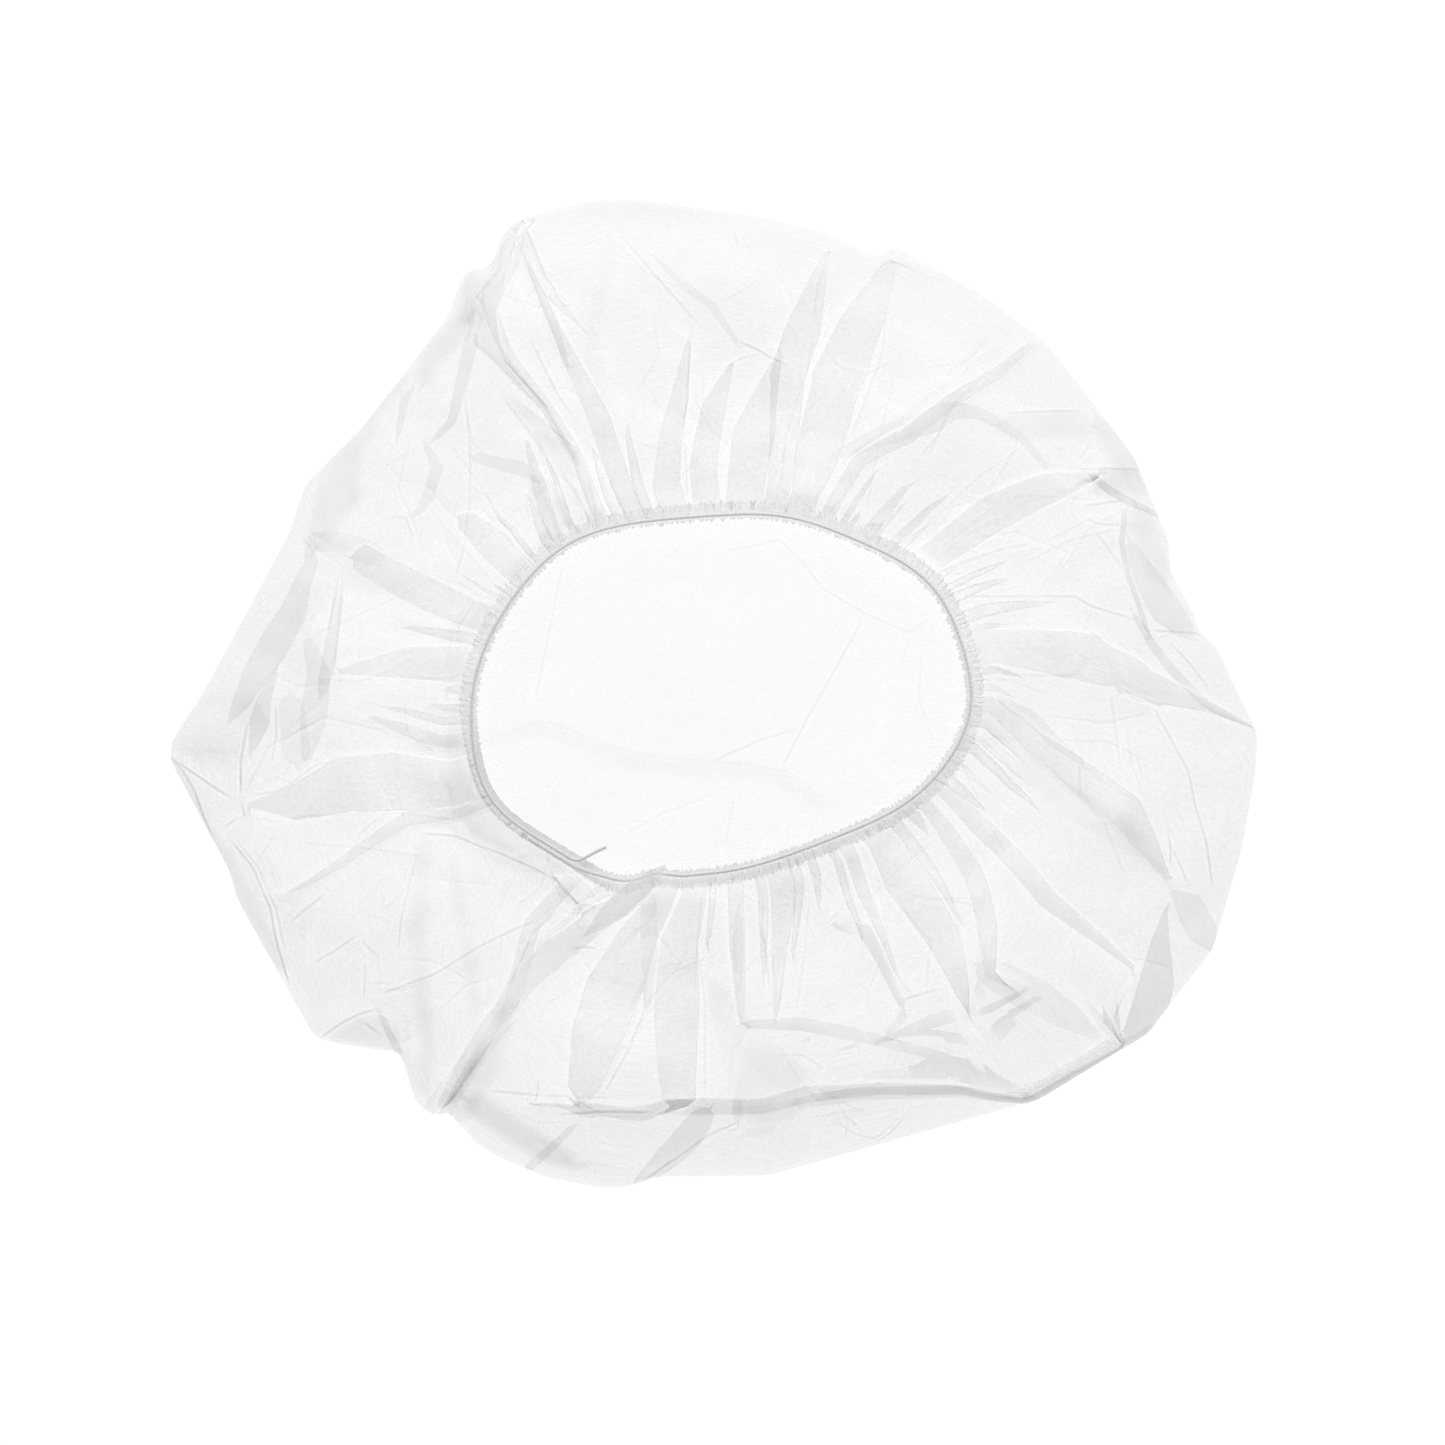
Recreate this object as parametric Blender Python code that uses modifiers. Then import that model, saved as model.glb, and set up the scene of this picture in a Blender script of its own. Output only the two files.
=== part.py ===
"""A disposable bouffant cap of thin nonwoven fabric, lying flat with its mouth up.

The crown is one bag of fabric: its lower layer lies on the table, turns up and over at the
outer fold, and comes back as the upper layer to the mouth. A narrow ruffled hem lies on the
mouth's edge, and one strand of elastic runs round on the hem. Metres, +Z up, +X to the right
and +Y to the back. The origin is on the table under the middle of the cap.
"""

import math
from bisect import bisect_right
from collections import namedtuple

import bmesh
import bpy

# Sizes of the crown
CAP_WIDTH = 0.235
CAP_LENGTH = 0.2136
CROWN_HEIGHT = 0.021
RIM_HEIGHT = 0.0075
FABRIC_WALL = 0.001
FOLD_HEIGHT = 0.0042
FOLD_WIDTH = 0.0048
GATHERS = 25
GATHER_HEIGHT = 0.0015

# Sizes of the mouth, along the middle of the elastic
MOUTH_WIDTH = 0.1073
MOUTH_LENGTH = 0.0794
MOUTH_ACROSS = 0.0018
MOUTH_ALONG = -0.0012
MOUTH_HEIGHT = 0.0125

# Sizes of the hem and the elastic
SEAM_GAP = 0.0003
HEM_WALL = 0.001
HEM_LIP = 0.0007
HEM_RUFFLES = 46
RUFFLE_REACH = 0.0016
RUFFLE_HEIGHT = 0.0012
RUFFLE_SCALLOP = 0.0005
COLLAR_MARGIN = 0.001
ELASTIC_DIAMETER = 0.0014
ELASTIC_LAP = 0.009
TAIL_LENGTH = 0.0078

# Where the elastic's two ends meet, as a turn from +X towards +Y, and how far the free tail
# turns away from the loop, towards the middle of the mouth
JOIN_TURN = math.radians(227)
TAIL_TURN = math.radians(58)

# How finely the faces follow the shapes
WIDEST_COLUMN = math.radians(3.9)
STEPS_PER_RUFFLE = 3
ELASTIC_STEP = 0.0038

# Corners of the cap's outline, as shares of half its width and half its length
Corner = namedtuple("Corner", "across along")
OUTLINE = (
    Corner(1.000, -0.080), Corner(0.922, 0.098), Corner(0.892, 0.121), Corner(0.883, 0.161),
    Corner(0.839, 0.248), Corner(0.837, 0.307), Corner(0.773, 0.479), Corner(0.612, 0.710),
    Corner(0.486, 0.814), Corner(0.330, 0.907), Corner(0.299, 0.883), Corner(0.203, 0.935),
    Corner(0.076, 0.968), Corner(-0.135, 1.000), Corner(-0.205, 1.000), Corner(-0.300, 0.980),
    Corner(-0.365, 0.953), Corner(-0.390, 0.927), Corner(-0.408, 0.866), Corner(-0.458, 0.854),
    Corner(-0.491, 0.759), Corner(-0.647, 0.538), Corner(-0.750, 0.425), Corner(-0.782, 0.321),
    Corner(-0.936, 0.007), Corner(-0.997, -0.096), Corner(-1.000, -0.133), Corner(-0.889, -0.362),
    Corner(-0.876, -0.416), Corner(-0.738, -0.688), Corner(-0.718, -0.706), Corner(-0.577, -0.726),
    Corner(-0.547, -0.830), Corner(-0.511, -0.856), Corner(-0.491, -0.840), Corner(-0.426, -0.923),
    Corner(-0.305, -0.980), Corner(-0.205, -1.000), Corner(-0.157, -0.998), Corner(-0.111, -0.978),
    Corner(0.100, -0.975), Corner(0.597, -0.821), Corner(0.798, -0.688), Corner(0.918, -0.517),
    Corner(0.970, -0.321), Corner(0.997, -0.155),
)

# Points of the elastic's loop, as shares of half the mouth's width and half its length
MOUTH = (
    Corner(1.000, 0.070), Corner(0.900, 0.502), Corner(0.799, 0.677), Corner(0.569, 0.835),
    Corner(0.259, 0.987), Corner(-0.088, 0.982), Corner(-0.475, 0.917), Corner(-0.707, 0.753),
    Corner(-0.931, 0.333), Corner(-1.000, -0.010), Corner(-0.975, -0.387), Corner(-0.923, -0.577),
    Corner(-0.596, -0.855), Corner(-0.483, -0.964), Corner(-0.378, -1.000), Corner(-0.237, -0.954),
    Corner(0.081, -0.910), Corner(0.444, -0.741), Corner(0.775, -0.523), Corner(0.977, -0.168),
)

# Rings of the crown from the middle of its lower layer, over the outer fold, to the collar.
# Reach is a share of the way from the middle to the outline, or from the outline to the collar.
Ring = namedtuple("Ring", "layer reach folds")
RINGS = (
    Ring("lower", 0.880, 0.00), Ring("lower", 0.940, 0.00), Ring("lower", 0.976, 0.00),
    Ring("lower", 0.994, 0.00), Ring("upper", 0.000, 0.00), Ring("upper", 0.012, 0.00),
    Ring("upper", 0.045, 0.10), Ring("upper", 0.100, 0.35), Ring("upper", 0.170, 0.80),
    Ring("upper", 0.260, 1.00), Ring("upper", 0.360, 1.00), Ring("upper", 0.460, 1.00),
    Ring("upper", 0.560, 1.00), Ring("upper", 0.660, 1.00), Ring("upper", 0.750, 1.00),
    Ring("upper", 0.835, 0.90), Ring("upper", 0.915, 0.60), Ring("upper", 1.000, 0.00),
)
FLAT_REACH = 0.88
CREST_REACH = 0.30

# Height of the upper layer round the cap: turn in degrees, and a share of the crown's height
Puff = namedtuple("Puff", "turn height")
PUFFS = (
    Puff(0, 0.96), Puff(40, 1.00), Puff(85, 0.84), Puff(125, 0.97),
    Puff(180, 0.90), Puff(225, 1.00), Puff(270, 0.86), Puff(315, 0.93),
)

# Main folds of the upper layer, from the mouth outwards, as shares of half the cap's sizes.
# Width and height are shares of FOLD_WIDTH and FOLD_HEIGHT.
Fold = namedtuple("Fold", "from_across from_along to_across to_along width height")
FOLDS = (
    Fold(-0.227, 0.382, -0.393, 0.605, 1.0, 1.0),
    Fold(-0.181, 0.402, -0.329, 0.838, 1.0, 0.9),
    Fold(-0.080, 0.412, -0.040, 0.726, 1.0, 0.8),
    Fold(-0.003, 0.412, 0.058, 0.666, 1.0, 0.7),
    Fold(0.132, 0.412, 0.207, 0.889, 1.1, 0.9),
    Fold(0.211, 0.433, 0.321, 0.848, 1.2, 1.0),
    Fold(0.251, 0.392, 0.583, 0.706, 1.0, 1.0),
    Fold(0.353, 0.311, 0.712, 0.534, 1.2, 1.0),
    Fold(0.399, 0.271, 0.749, 0.433, 1.0, 0.9),
    Fold(0.500, 0.189, 0.730, 0.189, 1.0, 0.8),
    Fold(0.509, 0.078, 0.951, -0.058, 1.2, 1.0),
    Fold(0.500, -0.013, 0.804, -0.337, 1.2, 0.9),
    Fold(0.454, -0.196, 0.749, -0.540, 1.1, 0.9),
    Fold(0.445, -0.216, 0.487, -0.580, 1.0, 0.8),
    Fold(0.334, -0.317, 0.546, -0.591, 1.3, 1.0),
    Fold(0.242, -0.357, 0.343, -0.601, 1.0, 0.8),
    Fold(0.113, -0.398, 0.113, -0.641, 1.0, 0.8),
    Fold(-0.043, -0.398, -0.052, -0.783, 1.3, 0.9),
    Fold(-0.135, -0.418, -0.237, -0.743, 1.2, 0.8),
    Fold(-0.209, -0.479, -0.518, -0.834, 1.1, 1.4),
    Fold(-0.320, -0.378, -0.430, -0.621, 1.0, 0.6),
    Fold(-0.448, -0.277, -0.688, -0.378, 1.0, 0.8),
    Fold(-0.476, -0.216, -0.835, -0.216, 1.4, 1.0),
    Fold(-0.476, -0.013, -0.697, 0.007, 1.2, 0.8),
    Fold(-0.421, 0.159, -0.633, 0.270, 1.2, 1.0),
    Fold(-0.356, 0.271, -0.540, 0.433, 1.0, 0.7),
    Fold(-0.301, 0.331, -0.448, 0.737, 1.0, 1.0),
    Fold(-0.706, 0.271, -0.844, -0.094, 1.1, 1.1),
    Fold(-0.283, -0.814, 0.528, -0.803, 1.1, 1.1),
    Fold(0.822, -0.418, 0.785, -0.682, 1.0, 1.0),
)

# Steps of the elastic's tail, as shares of TAIL_TURN and TAIL_LENGTH
Step = namedtuple("Step", "turned length")
TAIL = (Step(0.3, 0.12), Step(0.65, 0.12), Step(1.0, 0.26), Step(1.05, 0.26), Step(0.95, 0.24))

# Colour of each material
FABRIC_WHITE = (0.93, 0.94, 0.95, 1.0)
HEM_WHITE = (0.88, 0.89, 0.90, 1.0)
ELASTIC_GREY = (0.58, 0.58, 0.58, 1.0)


def scaled(corners, width, length):
    """The corners in metres, from shares of half a width and half a length."""
    return [(c.across * width / 2, c.along * length / 2) for c in corners]


def smooth_loop(points, steps):
    """A closed Catmull-Rom curve through the points, with this many steps between two of them."""
    count = len(points)
    curve = []
    for i in range(count):
        p0, p1, p2, p3 = (points[(i + k) % count] for k in (-1, 0, 1, 2))
        for step in range(steps):
            t = step / steps
            curve.append(tuple(
                0.5 * (2 * b + (c - a) * t + (2 * a - 5 * b + 4 * c - d) * t ** 2
                       + (3 * b - a - 3 * c + d) * t ** 3)
                for a, b, c, d in zip(p0, p1, p2, p3)
            ))
    return curve


def turn_of(x, y):
    """The direction of a point from the middle, from 0 to a full turn."""
    return math.atan2(y, x) % math.tau


def radius_table(points):
    """Sorted turns and radii of a loop round the middle, with its ends repeated."""
    rows = sorted((turn_of(x, y), math.hypot(x, y)) for x, y in points)
    first, last = rows[0], rows[-1]
    rows.insert(0, (last[0] - math.tau, last[1]))
    rows.append((first[0] + math.tau, first[1]))
    return [row[0] for row in rows], [row[1] for row in rows]


def read_table(table, turn):
    """The value of a table at a turn, on the straight line between its neighbours."""
    turns, values = table
    turn %= math.tau
    i = min(bisect_right(turns, turn), len(turns) - 1)
    share = (turn - turns[i - 1]) / (turns[i] - turns[i - 1])
    return values[i - 1] + share * (values[i] - values[i - 1])


def chord_radius(points, turn):
    """How far a straight-sided loop reaches in a direction from the middle."""
    dx, dy = math.cos(turn), math.sin(turn)
    for (ax, ay), (bx, by) in zip(points, points[1:] + points[:1]):
        ex, ey = bx - ax, by - ay
        across = dx * ey - dy * ex
        if abs(across) < 1e-12:
            continue
        reach = (ax * ey - ay * ex) / across
        share = (ax * dy - ay * dx) / across
        if reach > 0 and -1e-9 <= share <= 1 + 1e-9:
            return reach
    raise ValueError("the outline doesn't go round the middle")


def ease(t):
    """A smooth step from 0 to 1."""
    t = min(1.0, max(0.0, t))
    return t * t * (3 - 2 * t)


OUTLINE_POINTS = scaled(OUTLINE, CAP_WIDTH, CAP_LENGTH)
MOUTH_RADII = radius_table(smooth_loop(scaled(MOUTH, MOUTH_WIDTH, MOUTH_LENGTH), 9))
PUFF_HEIGHTS = smooth_loop([(puff.height,) for puff in PUFFS], 6)
# How far from the elastic's loop the hem's inner edge, its flat seat and its outer edge are
HEM_INSIDE = ELASTIC_DIAMETER / 2 + HEM_LIP
HEM_SEAT = 1.5 * ELASTIC_DIAMETER + 2 * SEAM_GAP
HEM_OUTSIDE = HEM_SEAT + RUFFLE_REACH
COLLAR = HEM_OUTSIDE + RUFFLE_SCALLOP + COLLAR_MARGIN


def mouth_point(turn, outside=0.0):
    """A point on the elastic's loop, or this far outside it, in plan."""
    radius = read_table(MOUTH_RADII, turn) + outside
    return MOUTH_ACROSS + radius * math.cos(turn), MOUTH_ALONG + radius * math.sin(turn)


def puff_height(turn):
    """The upper layer's height at its crest, in a direction from the middle."""
    turns = [math.radians(puff.turn) for puff in PUFFS] + [math.tau]
    i = bisect_right(turns, turn % math.tau) - 1
    share = (turn % math.tau - turns[i]) / (turns[i + 1] - turns[i])
    step = min(5, int(6 * share))
    here = PUFF_HEIGHTS[6 * i + step][0]
    there = PUFF_HEIGHTS[(6 * i + step + 1) % len(PUFF_HEIGHTS)][0]
    return CROWN_HEIGHT * (here + (6 * share - step) * (there - here))


def column_turns():
    """Directions of the crown's columns: one at each corner of the outline, and some between."""
    corners = sorted(turn_of(x, y) for x, y in OUTLINE_POINTS)
    turns = []
    for here, there in zip(corners, corners[1:] + [corners[0] + math.tau]):
        parts = max(1, math.ceil((there - here) / WIDEST_COLUMN))
        turns += [here + (there - here) * part / parts for part in range(parts)]
    return turns


def fold_relief(x, y):
    """How far the main folds lift the upper layer at a point in plan."""
    highest = 0.0
    for fold in FOLDS:
        ax, ay = fold.from_across * CAP_WIDTH / 2, fold.from_along * CAP_LENGTH / 2
        bx, by = fold.to_across * CAP_WIDTH / 2, fold.to_along * CAP_LENGTH / 2
        ex, ey = bx - ax, by - ay
        length = math.hypot(ex, ey)
        along = ((x - ax) * ex + (y - ay) * ey) / length
        beside = abs((x - ax) * ey - (y - ay) * ex) / length
        width = FOLD_WIDTH * fold.width
        past = max(-along, along - length, 0.0)
        fade = ease(1 - past / (2 * width)) * (0.6 + 0.4 * ease(1.5 * (1 - along / length)))
        lift = FOLD_HEIGHT * fold.height * fade * math.exp(-(beside / width) ** 2)
        highest = max(highest, lift)
    return highest


def gather_relief(reach, turn):
    """How far the small gathers lift the upper layer: most just outside the mouth's collar."""
    swell = ease((reach - 0.35) / 0.5) * ease((1 - reach) / 0.12)
    return GATHER_HEIGHT * swell * (0.5 + 0.5 * math.cos(GATHERS * turn))


def crown_point(ring, turn):
    """A point of the crown's outer face."""
    radius = chord_radius(OUTLINE_POINTS, turn)
    rim_x, rim_y = radius * math.cos(turn), radius * math.sin(turn)
    if ring.layer == "lower":
        curl = max(0.0, ring.reach - FLAT_REACH) / (1 - FLAT_REACH)
        return ring.reach * rim_x, ring.reach * rim_y, RIM_HEIGHT * (1 - math.sqrt(1 - curl ** 2))
    mouth_x, mouth_y = mouth_point(turn, COLLAR)
    x = rim_x + ring.reach * (mouth_x - rim_x)
    y = rim_y + ring.reach * (mouth_y - rim_y)
    crest = puff_height(turn)
    if ring.reach < CREST_REACH:
        rise = math.sqrt(1 - (1 - ring.reach / CREST_REACH) ** 2)
        height = RIM_HEIGHT + (crest - RIM_HEIGHT) * rise
    else:
        fall = ease((ring.reach - CREST_REACH) / (1 - CREST_REACH))
        height = crest + (MOUTH_HEIGHT - crest) * fall
    relief = max(ring.folds * fold_relief(x, y), gather_relief(ring.reach, turn))
    return x, y, height + relief


def material(name, colour, roughness):
    """A plain material of one colour."""
    made = bpy.data.materials.new(name)
    made.use_nodes = True
    shader = made.node_tree.nodes["Principled BSDF"]
    shader.inputs["Base Color"].default_value = colour
    shader.inputs["Roughness"].default_value = roughness
    shader.inputs["Metallic"].default_value = 0.0
    made.diffuse_color = colour
    return made


def add_object(name, data, surface):
    """An object for the data, in the cap's collection and with its material."""
    made = bpy.data.objects.new(name, data)
    cap_collection.objects.link(made)
    data.materials.append(surface)
    return made


def sheet_object(name, rows, surface, wall, middle=None):
    """A closed ring of cloth from rows of points, given its wall on the side away from its face."""
    sheet = bmesh.new()
    rings = [[sheet.verts.new(point) for point in row] for row in rows]
    if middle is not None:
        hub = sheet.verts.new(middle)
        for a, b in zip(rings[0], rings[0][1:] + rings[0][:1]):
            sheet.faces.new((hub, b, a))
    for inner, outer in zip(rings, rings[1:]):
        for i, a in enumerate(inner):
            j = (i + 1) % len(inner)
            sheet.faces.new((a, inner[j], outer[j], outer[i]))
    mesh = bpy.data.meshes.new(name)
    sheet.to_mesh(mesh)
    sheet.free()
    mesh.shade_smooth()
    made = add_object(name, mesh, surface)
    thickness = made.modifiers.new("wall", "SOLIDIFY")
    thickness.thickness = wall
    thickness.offset = -1
    return made


def build_crown():
    """The bag of fabric, with a flat underside, an outer fold and an open mouth."""
    turns = column_turns()
    rows = [[crown_point(ring, turn) for turn in turns] for ring in RINGS]
    rows.append([(*mouth_point(turn), MOUTH_HEIGHT) for turn in turns])
    return sheet_object(
        "crown", rows, material("nonwoven fabric", FABRIC_WHITE, 0.85), FABRIC_WALL, (0, 0, 0)
    )


def build_hem():
    """The gathered strip on the mouth's edge: flat under the elastic, ruffled along its outside."""
    count = HEM_RUFFLES * STEPS_PER_RUFFLE
    turns = [math.tau * i / count for i in range(count)]
    waves = [0.5 - 0.5 * math.cos(HEM_RUFFLES * turn) for turn in turns]
    top = MOUTH_HEIGHT + SEAM_GAP + HEM_WALL
    rows = [
        [
            (*mouth_point(turn, HEM_OUTSIDE + RUFFLE_SCALLOP * wave), top + RUFFLE_HEIGHT * wave)
            for turn, wave in zip(turns, waves)
        ],
        [(*mouth_point(turn, HEM_SEAT), top) for turn in turns],
        [(*mouth_point(turn, -HEM_INSIDE), top) for turn in turns],
    ]
    return sheet_object("hem", rows, material("gathered hem", HEM_WHITE, 0.85), HEM_WALL)


def elastic_route():
    """Points along the strand: its hidden end, once round the mouth, and the free tail inside it."""
    beside = ELASTIC_DIAMETER + SEAM_GAP
    height = MOUTH_HEIGHT + 2 * SEAM_GAP + HEM_WALL + ELASTIC_DIAMETER / 2
    radius = read_table(MOUTH_RADII, JOIN_TURN)
    lap = ELASTIC_LAP / radius
    count = math.ceil((MOUTH_WIDTH + MOUTH_LENGTH) * math.pi / 2 / ELASTIC_STEP)
    route = []
    for i in range(count + 1):
        past = -lap + (math.tau + lap) * i / count
        outside = beside * (1 - ease(past / lap))
        route.append((*mouth_point(JOIN_TURN + past, outside), height))
    (ax, ay, _), (x, y, _) = route[-2:]
    heading = math.atan2(y - ay, x - ax)
    for turned, length in TAIL:
        x += length * TAIL_LENGTH * math.cos(heading + turned * TAIL_TURN)
        y += length * TAIL_LENGTH * math.sin(heading + turned * TAIL_TURN)
        route.append((x, y, height))
    return route


def build_elastic():
    """The round elastic, one open strand whose ends lie beside each other."""
    route = elastic_route()
    curve = bpy.data.curves.new("elastic_band", "CURVE")
    curve.dimensions = "3D"
    curve.bevel_depth = ELASTIC_DIAMETER / 2
    curve.bevel_resolution = 2
    curve.use_fill_caps = True
    strand = curve.splines.new("POLY")
    strand.points.add(len(route) - 1)
    for point, place in zip(strand.points, route):
        point.co = (*place, 1.0)
    return add_object("elastic_band", curve, material("elastic", ELASTIC_GREY, 0.6))


for old in list(bpy.data.objects):
    bpy.data.objects.remove(old)
cap_collection = bpy.data.collections.new("bouffant cap")
bpy.context.scene.collection.children.link(cap_collection)
build_crown()
build_hem()
build_elastic()
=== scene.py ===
"""The looks of a disposable bouffant cap that lies flat with its mouth up.

One thin sheet of white nonwoven is folded into the crown: a flat lower layer, a rim that curls
over, and an upper layer laid in knife pleats that run to the mouth. A finely ruffled hem and a
stitched strand of elastic finish the mouth. Metres, +Z up, +X to the right, +Y to the back.
"""

import logging
import math
from dataclasses import dataclass, field
from enum import Enum
from functools import partialmethod
from typing import Any, NamedTuple, Optional, Sequence, Union

import bpy
import numpy as np
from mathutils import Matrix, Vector
from mathutils.bvhtree import BVHTree


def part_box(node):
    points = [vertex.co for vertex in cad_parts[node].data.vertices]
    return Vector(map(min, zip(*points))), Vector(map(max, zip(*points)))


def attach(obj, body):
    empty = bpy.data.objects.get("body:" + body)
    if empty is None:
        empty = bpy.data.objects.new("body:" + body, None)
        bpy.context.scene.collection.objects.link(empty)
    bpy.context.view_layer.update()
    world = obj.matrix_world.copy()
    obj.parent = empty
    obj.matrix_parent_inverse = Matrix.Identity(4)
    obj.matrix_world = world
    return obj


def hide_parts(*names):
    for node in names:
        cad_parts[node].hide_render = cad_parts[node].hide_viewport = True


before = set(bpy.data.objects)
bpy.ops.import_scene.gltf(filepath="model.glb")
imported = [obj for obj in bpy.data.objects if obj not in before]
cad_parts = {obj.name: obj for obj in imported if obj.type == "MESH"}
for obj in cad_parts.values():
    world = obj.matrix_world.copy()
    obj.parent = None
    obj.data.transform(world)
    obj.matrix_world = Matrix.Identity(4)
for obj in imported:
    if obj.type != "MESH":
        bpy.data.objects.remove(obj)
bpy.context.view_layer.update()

LOG = logging.getLogger("bouffant cap")
Array = np.ndarray
Colour = tuple[float, float, float, float]
Row = tuple[float, float, float]
WHITE: Colour = (1.0, 1.0, 1.0, 1.0)
GRAIN_HEIGHT = 0.0001
TINY = 1e-12


class Lay(Enum):
    """The side that a pleat's upper flap lies to, seen from the mouth."""

    RIGHT = 1
    LEFT = -1


class Bend(NamedTuple):
    """A point on a pleat, in shares of half the cap's width, and its width's share."""

    across: float
    along: float
    width: float


@dataclass(frozen=True)
class Pleat:
    """A knife pleat of the upper layer, from its outer end to the mouth."""

    lay: Lay
    bends: tuple[Bend, ...]


@dataclass(frozen=True)
class Tuck:
    """A fold that runs round the cap instead of towards the mouth."""

    shade: float
    bends: tuple[Bend, ...]


class Kind(Enum):
    """What a mark in the fabric looks like."""

    # Drawn as a line of painted shade
    LINE = "a thin crease"
    # Drawn as thicker cloth, with painted shade along its edges
    BAND = "a flap with crisp edges"
    # Painted shade, or painted light where its strength is below 0
    PATCH = "a soft dark or light place"


class Spot(NamedTuple):
    """A point on a mark: its column and row in the photograph, and its width's share."""

    column: float
    row: float
    width: float = 0.0


@dataclass(frozen=True)
class Mark:
    """A crease, a flap or a place of painted shade or light. At strength 1 it is as dark as two
    more layers.
    """

    kind: Kind
    strength: float
    spots: tuple[Spot, ...]


def bends(*rows: Row) -> tuple[Bend, ...]:
    """Rows of across, along and width as bends."""
    return tuple(Bend(*row) for row in rows)


def spots(*rows: tuple[float, ...]) -> tuple[Spot, ...]:
    """Rows of column, row and width as spots."""
    return tuple(Spot(*row) for row in rows)


def pleat(lay: Lay, *rows: Row) -> Pleat:
    """A pleat through rows of across, along and width."""
    return Pleat(lay, bends(*rows))


def crease(strength: float, *rows: tuple[float, float]) -> Mark:
    """A thin crease of painted shade through rows of column and row."""
    return Mark(Kind.LINE, strength, spots(*rows))


def flap(strength: float, *rows: Row) -> Mark:
    """A flap along rows of column, row and width, with painted shade along its edges."""
    return Mark(Kind.BAND, strength, spots(*rows))


def patch(strength: float, *rows: Row) -> Mark:
    """A place of painted shade, or of painted light below 0, along rows of column, row and width.
    """
    return Mark(Kind.PATCH, strength, spots(*rows))


# Across the round sheet that the cap is cut from
SHEET_SIZE = 0.40

# Widths of a pleat, a tuck and a mark whose share is 1
PLEAT_WIDTH = 0.010
TUCK_WIDTH = 0.004
MARK_WIDTH = 0.010

# The cap's middle and half its width in the photograph's pixels
PHOTO_MIDDLE = Spot(713.5, 694.0)
PHOTO_HALF_WIDTH = 543.5

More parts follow.
